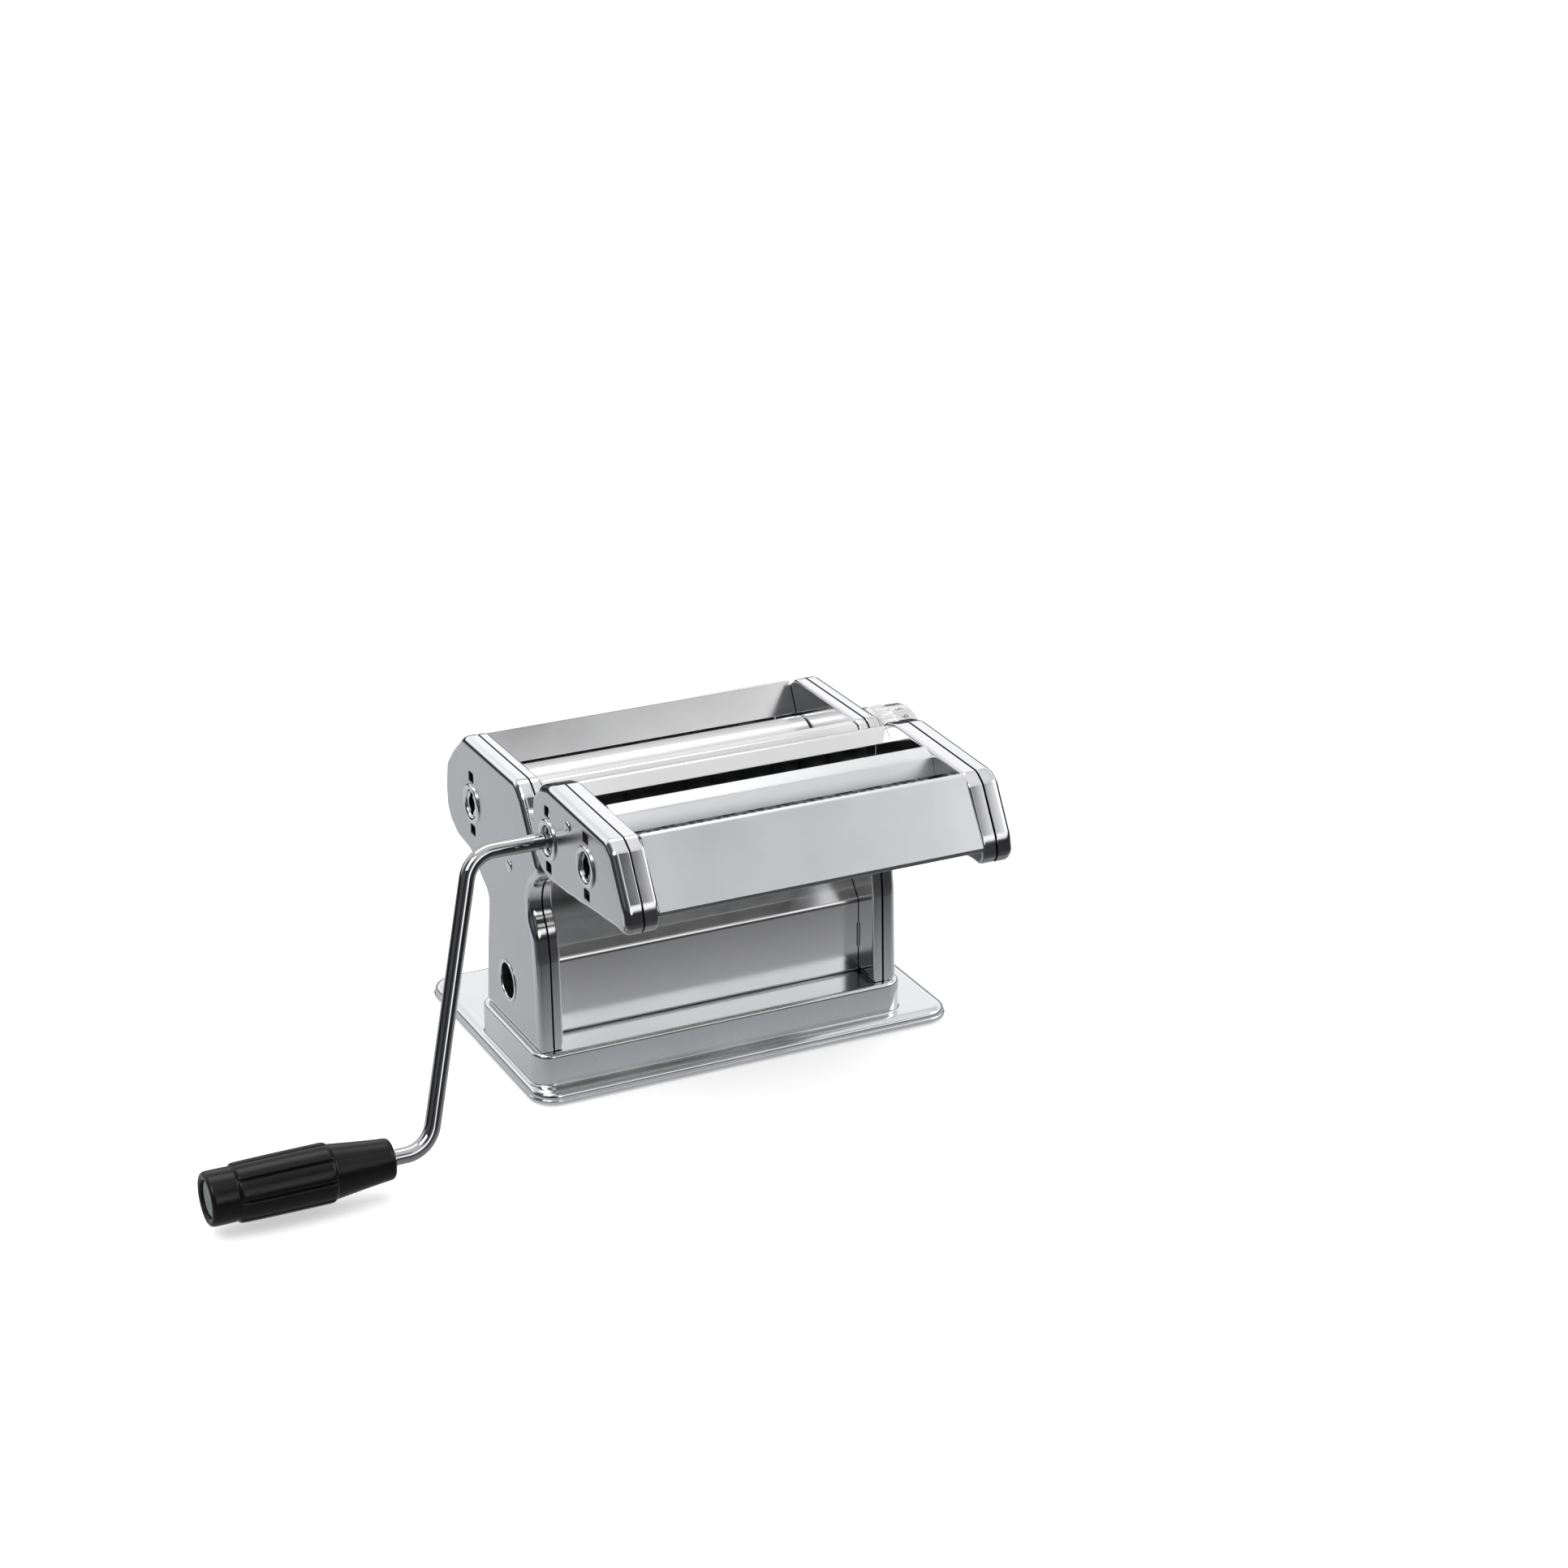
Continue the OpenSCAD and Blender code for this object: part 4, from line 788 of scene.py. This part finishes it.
bm = bmesh.new()
closed_lathe(bm, AX_FIXED, soft_profile(ring_profile(COVER), 0.2))
finish_mesh("socket_ring_body", bm, "body_socket_ring", M_RING, 50)
bm = bmesh.new()
for a in (AX_WD, AX_ND):
    closed_lathe(bm, a, soft_profile(ring_profile(CAP), 0.2))
finish_mesh("socket_rings_cutter", bm, "cutter_socket_rings", M_RING, 50)

bm = bmesh.new()
for s in (-1, 1):
    lathe_into(bm, RIVET, [(s * x, r) for x, r in dome(COVER + 0.02, COVER + 0.95, 2.8)], 32)
    lathe_into(bm, RIVET, [(s * x, r) for x, r in [(75.9, 0), (75.9, 2.4), (76.0, 2.5), (76.88, 2.5), (76.88, 1.25), (78.4, 1.25), (78.42, 2.3), (87.98, 2.3), (87.98, 1.25), (88.82, 1.25), (88.82, 0)]], 32)
finish_mesh("rivets", bm, "cover_rivets", M_RING, 40)
bm = bmesh.new()
for s in (-1, 1):
    lathe_into(bm, CAP_PIN, [(s * x, r) for x, r in dome(CAP + 0.02, CAP + 1.0, 2.5)], 32)
    lathe_into(bm, CAP_PIN, [(s * x, r) for x, r in [(74.95, 0), (74.95, 1.3), (75.1, 1.45), (76.4, 1.45), (76.42, 2.7), (89.18, 2.7), (89.18, 1.45), (90.02, 1.45), (90.02, 0)]], 32)
finish_mesh("cap_pins", bm, "cutter_screws", M_RING, 40)

bm = bmesh.new()
for s in (-1, 1):
    prof = [(68.9, 8.0), (68.9, 8.95), (75.4, 8.95), (75.4, 12), (76.85, 12), (76.85, 8.95), (88.6, 8.95), (88.82, 9.3), (88.95, 9.75), (89.15, 9.7), (89.3, 9.35), (89.3, 8.8), (89.1, 8.3), (88.7, 8.05), (88.3, 8.0), (68.9, 8.0)]
    lathe_into(bm, CLAMP, [(s * x, r) for x, r in prof], 72)
finish_mesh("clamp_tubes", bm, "clamp_sockets", M_FRAME, 40)

# ------------------------------------------------------------------ thickness knob


def knob():
    bm = bmesh.new()
    n = 144
    prof = [(91.4, 4.06), (91.4, 17.0), (91.7, 17.6), (92.6, 19), (93.8, 19.9), (95.4, 20.7), (96.6, 21.9), (97.2, 22.6), (97.6, 22.9), (98.2, 23.0),
            (99.0, 23.0), (104.6, 23.0), (105.2, 22.95), (105.6, 22.5), (106.0, 22.4), (114.2, 22.3), (115.0, 22.1), (115.7, 21.6), (116.1, 20.8), (116.2, 19.8),
            (116.2, 12.2), (116.1, 11.4), (115.7, 10.9), (115.3, 10.4), (115.2, 9.6), (115.2, 8.7), (115.0, 8.3), (114.4, 8.2), (101.4, 8.2), (101.4, 4.06), (91.4, 4.06)]
    rings = []
    for x, r in prof:
        depth = 0.0
        if 98.0 <= x <= 104.8 and r > 22.5:
            depth = 1.0
        row = []
        for i in range(n):
            w = 2 * math.pi * i / n
            k = 0.5 - 0.5 * math.cos(w * 36)
            rr = r - depth * 0.7 * k
            row.append((x, AX_KNOB[0] + rr * math.cos(w), AX_KNOB[1] + rr * math.sin(w)))
        rings.append(ring(bm, row))
    for a, b in zip(rings, rings[1:]):
        join(bm, a, b)
    # index pin
    w = math.radians(-70)
    py, pz = AX_KNOB[0] - 15.5 * math.sin(w), AX_KNOB[1] + 15.5 * math.cos(w)
    lathe_into(bm, (py, pz), [(89.5, 0), (89.5, 1.0), (89.7, 1.2), (91.9, 1.2), (91.9, 0)], 24)
    return finish_mesh("thickness_knob", bm, "regulator_knob", M_KNOB, 40)


knob()


def numerals():
    """numbers 0 to 9 printed round the smooth rim of the knob"""
    bm = bmesh.new()
    rad = 22.35
    for k in range(10):
        cu = bpy.data.curves.new("digit", "FONT")
        cu.body = str(k)
        cu.size = 5.2 * MM
        cu.align_x = "CENTER"
        cu.align_y = "CENTER"
        cu.extrude = 0.05 * MM
        cu.resolution_u = 4
        ob = bpy.data.objects.new("digit", cu)
        bpy.context.scene.collection.objects.link(ob)
        bpy.context.view_layer.update()
        me = bpy.data.meshes.new_from_object(ob.evaluated_get(bpy.context.evaluated_depsgraph_get()))
        w = math.radians(140 * k / 9 - 70)
        # digit's x runs along the rim, its y along -X of the machine
        c = Vector((110.2, AX_KNOB[0] - rad * math.sin(w), AX_KNOB[1] + rad * math.cos(w))) * MM
        nrm = Vector((0, -math.sin(w), math.cos(w)))
        up = Vector((-1, 0, 0))
        right = up.cross(nrm)
        m = Matrix((right, up, nrm)).transposed().to_4x4()
        m.translation = c
        me.transform(m)
        bm.from_mesh(me)
        bpy.data.objects.remove(ob)
        bpy.data.curves.remove(cu)
        bpy.data.meshes.remove(me)
    bmesh.ops.remove_doubles(bm, verts=bm.verts, dist=1e-7)
    me = bpy.data.meshes.new("dial_numbers")
    bm.to_mesh(me)
    bm.free()
    me.materials.append(M_PAINT)
    o = bpy.data.objects.new("dial_numbers", me)
    bpy.context.scene.collection.objects.link(o)
    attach(o, "knob")


numerals()

# ------------------------------------------------------------------ crank
CRANK_R, SLANT, LEAN = 119.6, 35.7, 15.72
CORNER, BEND, ROD = 59.0, 14.0, 7.0
ARM = math.atan2(CRANK_R, SLANT)
END_X = CORNER + SLANT
GRIP_X = END_X + 17.0
GRIP_L = 80.0
TO_WORLD = (Matrix.Translation((-66, AX_WD[0], AX_WD[1]))
            @ Matrix.Rotation(math.radians(90 - LEAN), 4, "X")
            @ Matrix.Rotation(math.pi, 4, "Z"))


def crank_path():
    """centre line in the crank's own plane, as (x, y, tangent angle)"""
    bt = BEND * math.tan(ARM / 2)
    pts = [(4.4, 0, 0), (20, 0, 0), (CORNER - bt, 0, 0)]
    k = 20
    for i in range(1, k + 1):
        w = ARM * i / k
        pts.append((CORNER - bt + BEND * math.sin(w), BEND - BEND * math.cos(w), w))
    cx, cy = END_X + bt, CRANK_R - BEND
    sx, sy = cx - BEND * math.sin(ARM), cy + BEND * math.cos(ARM)
    ex, ey = pts[-1][0], pts[-1][1]
    for i in range(1, 8):
        pts.append((ex + (sx - ex) * i / 8, ey + (sy - ey) * i / 8, ARM))
    for i in range(0, k + 1):
        w = ARM * (1 - i / k)
        pts.append((cx - BEND * math.sin(w), cy + BEND * math.cos(w), w))
    pts.append((GRIP_X + 74.9, CRANK_R, 0))
    return pts


def crank():
    bm = bmesh.new()
    n = 40
    path = crank_path()
    rings = []

    def row(x, y, w, r):
        out = []
        for j in range(n):
            q = 2 * math.pi * j / n
            u, v = r * math.cos(q), r * math.sin(q)
            out.append(TO_WORLD @ Vector((x - u * math.sin(w), y + u * math.cos(w), v)))
        return ring(bm, out)
    x0, y0, w0 = path[0]
    rr = ROD / 2
    rings.append(row(x0, y0, w0, rr - 0.8))
    rings.append(row(x0 + 0.15, y0, w0, rr - 0.35))
    rings.append(row(x0 + 0.6, y0, w0, rr))
    for x, y, w in path[1:]:
        rings.append(row(x, y, w, rr))
    for a, b in zip(rings, rings[1:]):
        join(bm, a, b)
    for cap_ring in (rings[0], rings[-1]):
        bm.faces.new(cap_ring)
    # stop collar before the grip and the upset end inside it
    for xa, xb, r in ((GRIP_X - 1.3, GRIP_X - 0.1, 4.8), (GRIP_X + 72.9, GRIP_X + 74.9, 5.25)):
        rs = [row(x, CRANK_R, 0, q) for x, q in ((xa, rr - 0.01), (xa, r - 0.25), (xa + 0.2, r), (xb - 0.2, r), (xb, r - 0.25), (xb, rr - 0.01))]
        for a, b in zip(rs, rs[1:]):
            join(bm, a, b)
    # cross pin
    m = 24
    px, py, pz = -CAP + 1.8, AX_WD[0], AX_WD[1]
    prof = [(-5.0, 1.0), (-4.7, 1.4), (4.7, 1.4), (5.0, 1.0)]
    rs = [ring(bm, [(px + r * math.cos(2 * math.pi * i / m), py + r * math.sin(2 * math.pi * i / m), pz + z) for i in range(m)]) for z, r in prof]
    for a, b in zip(rs, rs[1:]):
        join(bm, a, b)
    bm.faces.new(rs[0])
    bm.faces.new(rs[-1])
    return finish_mesh("crank_handle", bm, "crank_rod", M_CHROME, 40)


crank()


def grip():
    bm = bmesh.new()
    n = 192
    lobes = 8
    prof = [(0, 3.56), (0, 7.6), (0.15, 8.1), (0.6, 8.6), (1.4, 8.87), (3, 9.05), (6, 9.3), (11, 9.85), (15, 10.32), (18, 10.7), (21, 11.08), (24, 11.47),
            (26.0, 11.72), (26.5, 11.8), (26.8, 12.05), (27.1, 12.4), (27.6, 12.7), (28.4, 12.85), (29.4, 12.88), (36, 12.88), (44, 12.86), (52, 12.82), (60, 12.74), (64.6, 12.66),
            (66.6, 12.56), (67.2, 12.4), (67.7, 12.0), (68.0, 11.65), (68.4, 11.48), (69.2, 11.52), (70, 11.58), (75, 11.62), (78.0, 11.6), (79.0, 11.4), (79.6, 11.05), (79.95, 10.5),
            (80.0, 9.9), (79.85, 8.9), (79.5, 8.25), (79.0, 8.02), (75.8, 8.0), (75.8, 3.7), (72.8, 3.56), (0, 3.56)]
    rings = []
    for u, r in prof:
        g = 0.0
        if r > 11.6 and 26.7 <= u <= 67.9:
            g = min(1.0, max(0.0, (u - 26.7) / 1.2)) * min(1.0, max(0.0, (67.9 - u) / 0.8))
            g = max(0.0, min(1.0, g))
        floor_r = 11.6 - 0.004 * (u - 30)
        row = []
        for i in range(n):
            q = 2 * math.pi * i / n
            # narrow rounded grooves between broad lobes
            c = abs((((q + 0.19) * lobes / (2 * math.pi)) % 1.0) - 0.5) * 2
            k = max(0.0, (c - 0.79) / 0.21)
            k = k * k * (3 - 2 * k)
            crown = 0.12 * (1 - min(1.0, c / 0.8) ** 2)
            rr = r
            if g:
                rr = r - 0.12 * g + crown * g
                rr = rr + (min(rr, floor_r) - rr) * k * g
            row.append(TO_WORLD @ Vector((GRIP_X + u, CRANK_R + rr * math.cos(q), rr * math.sin(q))))
        rings.append(ring(bm, row))
    for a, b in zip(rings, rings[1:]):
        join(bm, a, b)
    finish_mesh("grip", bm, "crank_grip", M_GRIP, 38)
    bm = bmesh.new()
    m = 72
    prof = [(75.9, 0), (75.9, 7.7), (76.1, 7.94), (77.9, 7.94), (78.3, 7.75), (78.45, 7.4), (78.5, 6.8), (78.42, 6.3), (78.3, 6.1), (78.25, 5.2), (78.25, 0)]
    rings = []
    for u, r in prof:
        if r == 0:
            rings.append([bm.verts.new((TO_WORLD @ Vector((GRIP_X + u, CRANK_R, 0))) * MM)])
        else:
            rings.append(ring(bm, [TO_WORLD @ Vector((GRIP_X + u, CRANK_R + r * math.cos(2 * math.pi * i / m), r * math.sin(2 * math.pi * i / m))) for i in range(m)]))
    for p, q in zip(rings, rings[1:]):
        if len(p) == 1:
            for i in range(m):
                bm.faces.new((p[0], q[i], q[(i + 1) % m]))
        elif len(q) == 1:
            for i in range(m):
                bm.faces.new((q[0], p[(i + 1) % m], p[i]))
        else:
            join(bm, p, q)
    finish_mesh("grip_plug", bm, "grip_end_cap", M_INSERT, 38)


grip()

# ------------------------------------------------------------------ floor
bm = bmesh.new()
bmesh.ops.create_grid(bm, x_segments=24, y_segments=24, size=9.0)
me = bpy.data.meshes.new("floor")
bm.to_mesh(me)
bm.free()
floor = bpy.data.objects.new("floor", me)
bpy.context.scene.collection.objects.link(floor)
fm, nt, b = new_mat("pale floor")
tc = nt.nodes.new("ShaderNodeTexCoord")
nt.links.new(mix_col(nt, noise(nt, tc.outputs["Object"], 3, 2), (0.86, 0.86, 0.86), (0.9, 0.9, 0.9)), b.inputs["Base Color"])
b.inputs["Roughness"].default_value = 0.8
b.inputs["Specular IOR Level"].default_value = 0.1
b.inputs["Emission Color"].default_value = (1, 1, 1, 1)
b.inputs["Emission Strength"].default_value = 0.3
# painted reflection: to glossy rays the floor glows instead of showing its lit surface, as a darker strip in front
# and, further out,
#  near black beyond an edge, so polished metal reflects dark bands
sep = nt.nodes.new("ShaderNodeSeparateXYZ")
nt.links.new(tc.outputs["Object"], sep.inputs[0])
yr = nt.nodes.new("ShaderNodeMapRange")
yr.inputs["From Min"].default_value = -1.5
yr.inputs["From Max"].default_value = 0.5
nt.links.new(sep.outputs[1], yr.inputs["Value"])
cr = nt.nodes.new("ShaderNodeValToRGB")
el = cr.color_ramp.elements
el[0].position, el[0].color = 0.0, (0.20, 0.20, 0.21, 1)
el[1].position, el[1].color = 1.0, (0.66, 0.665, 0.68, 1)
for pos, v in ((0.35, 0.10), (0.50, 0.05), (0.64, 0.07), (0.685, 0.30), (0.715, 0.50), (0.76, 0.62)):
    q = el.new(pos)
    q.color = (v, v * 1.01, v * 1.04, 1)
nt.links.new(yr.outputs[0], cr.inputs[0])
ln = nt.nodes.new("ShaderNodeVectorMath")
ln.operation = "LENGTH"
nt.links.new(tc.outputs["Object"], ln.inputs[0])
far = ramp(nt, ln.outputs["Value"], 0.0, 0.92, 0.50, 0.95)
painted_reflection_col = mix_col(nt, far, cr.outputs[0], (0.02, 0.02, 0.022))
em = nt.nodes.new("ShaderNodeEmission")
nt.links.new(painted_reflection_col, em.inputs[0])
lp = nt.nodes.new("ShaderNodeLightPath")
mx = nt.nodes.new("ShaderNodeMixShader")
nt.links.new(lp.outputs["Is Glossy Ray"], mx.inputs[0])
nt.links.new(b.outputs[0], mx.inputs[1])
nt.links.new(em.outputs[0], mx.inputs[2])
nt.links.new(mx.outputs[0], nt.nodes["Material Output"].inputs[0])
me.materials.append(fm)

# ------------------------------------------------------------------ light
world = bpy.data.worlds.new("studio")
bpy.context.scene.world = world
world.use_nodes = True
wt = world.node_tree
wt.nodes.clear()
wo = wt.nodes.new("ShaderNodeOutputWorld")
tc = wt.nodes.new("ShaderNodeTexCoord")
sep = wt.nodes.new("ShaderNodeSeparateXYZ")
wt.links.new(tc.outputs["Generated"], sep.inputs[0])
cr = wt.nodes.new("ShaderNodeValToRGB")
el = cr.color_ramp.elements
el[0].position, el[0].color = 0.0, (0.03, 0.03, 0.033, 1)
el[1].position, el[1].color = 1.0, (1.0, 1.0, 1.0, 1)
for pos, v in ((0.53, 0.02), (0.575, 0.10), (0.615, 0.95), (0.68, 1.25), (0.76, 1.05), (0.84, 0.72), (0.92, 0.85)):
    q = el.new(pos)
    q.color = (v, v, v * 1.01, 1)
half = wt.nodes.new("ShaderNodeMapRange")
half.inputs["From Min"].default_value = -1
half.inputs["From Max"].default_value = 1
wt.links.new(sep.outputs[2], half.inputs["Value"])
wt.links.new(half.outputs[0], cr.inputs[0])
sky = cr.outputs[0]
# dark areas of the room, seen only in the metal
for direction, near, full, depth in (((-0.404, -0.836, 0.372), 0.88, 0.95, 0.93), ((0.31, -0.73, 0.61), 0.985, 0.996, 0.90),
                                     ((-0.93, -0.22, 0.30), 0.60, 0.80, 0.92)):
    n3 = Vector(direction).normalized()
    dot = wt.nodes.new("ShaderNodeVectorMath")
    dot.operation = "DOT_PRODUCT"
    dot.inputs[1].default_value = n3
    wt.links.new(tc.outputs["Generated"], dot.inputs[0])
    sky = mix_col(wt, ramp(wt, dot.outputs["Value"], 0.0, depth, near, full), sky, (0.02, 0.022, 0.028))
# a small bright window, low in the room
dot = wt.nodes.new("ShaderNodeVectorMath")
dot.operation = "DOT_PRODUCT"
dot.inputs[1].default_value = Vector((0.15, -0.92, 0.22)).normalized()
wt.links.new(tc.outputs["Generated"], dot.inputs[0])
sky = mix_col(wt, ramp(wt, dot.outputs["Value"], 0.0, 1.0, 0.982, 0.990), sky, (1.9, 1.9, 1.9))
b1 = wt.nodes.new("ShaderNodeBackground")
wt.links.new(sky, b1.inputs[0])
b1.inputs[1].default_value = 1.0
b2 = wt.nodes.new("ShaderNodeBackground")
b2.inputs[0].default_value = (1, 1, 1, 1)
b2.inputs[1].default_value = 1.12
lp = wt.nodes.new("ShaderNodeLightPath")
mx = wt.nodes.new("ShaderNodeMixShader")
wt.links.new(lp.outputs["Is Glossy Ray"], mx.inputs[0])
wt.links.new(b2.outputs[0], mx.inputs[1])
wt.links.new(b1.outputs[0], mx.inputs[2])
wt.links.new(mx.outputs[0], wo.inputs[0])


def area(name, loc, target, size, energy, color=(1, 1, 1)):
    d = bpy.data.lights.new(name, "AREA")
    d.shape = "RECTANGLE"
    d.size, d.size_y = size
    d.energy = energy
    d.color = color
    o = bpy.data.objects.new(name, d)
    o.location = loc
    o.rotation_euler = (Vector(target) - Vector(loc)).to_track_quat("-Z", "Y").to_euler()
    bpy.context.scene.collection.objects.link(o)


area("key", (-1.1, -0.7, 1.5), (0, 0, 0.1), (0.9, 0.9), 9)
area("fill", (1.5, -0.9, 1.2), (0, 0, 0.1), (0.8, 1.2), 5)
area("top", (0.0, 0.6, 1.9), (0, 0, 0.1), (1.6, 0.8), 8)

scene = bpy.context.scene
scene.view_settings.view_transform = "Standard"
scene.view_settings.look = "None"

# ------------------------------------------------------------------ camera
cam_data = bpy.data.cameras.new("photo")
cam = bpy.data.objects.new("photo", cam_data)
scene.collection.objects.link(cam)
az, elv, roll = math.radians(-25.826), math.radians(21.731), math.radians(-0.360)
back = Vector((math.sin(az) * math.cos(elv), -math.cos(az) * math.cos(elv), math.sin(elv)))
fwd = -back
right = fwd.cross(Vector((0, 0, 1))).normalized()
up = right.cross(fwd)
r2 = right * math.cos(roll) + up * math.sin(roll)
u2 = up * math.cos(roll) - right * math.sin(roll)
m = Matrix((r2, u2, back)).transposed().to_4x4()
m.translation = (-0.5838, -1.3306, 0.6914)
cam.matrix_world = m
cam_data.lens = 78.91
cam_data.sensor_width = 36.0
cam_data.sensor_fit = "HORIZONTAL"
cam_data.clip_start = 0.01
cam_data.clip_end = 60
cam_data.dof.use_dof = False
scene.camera = cam
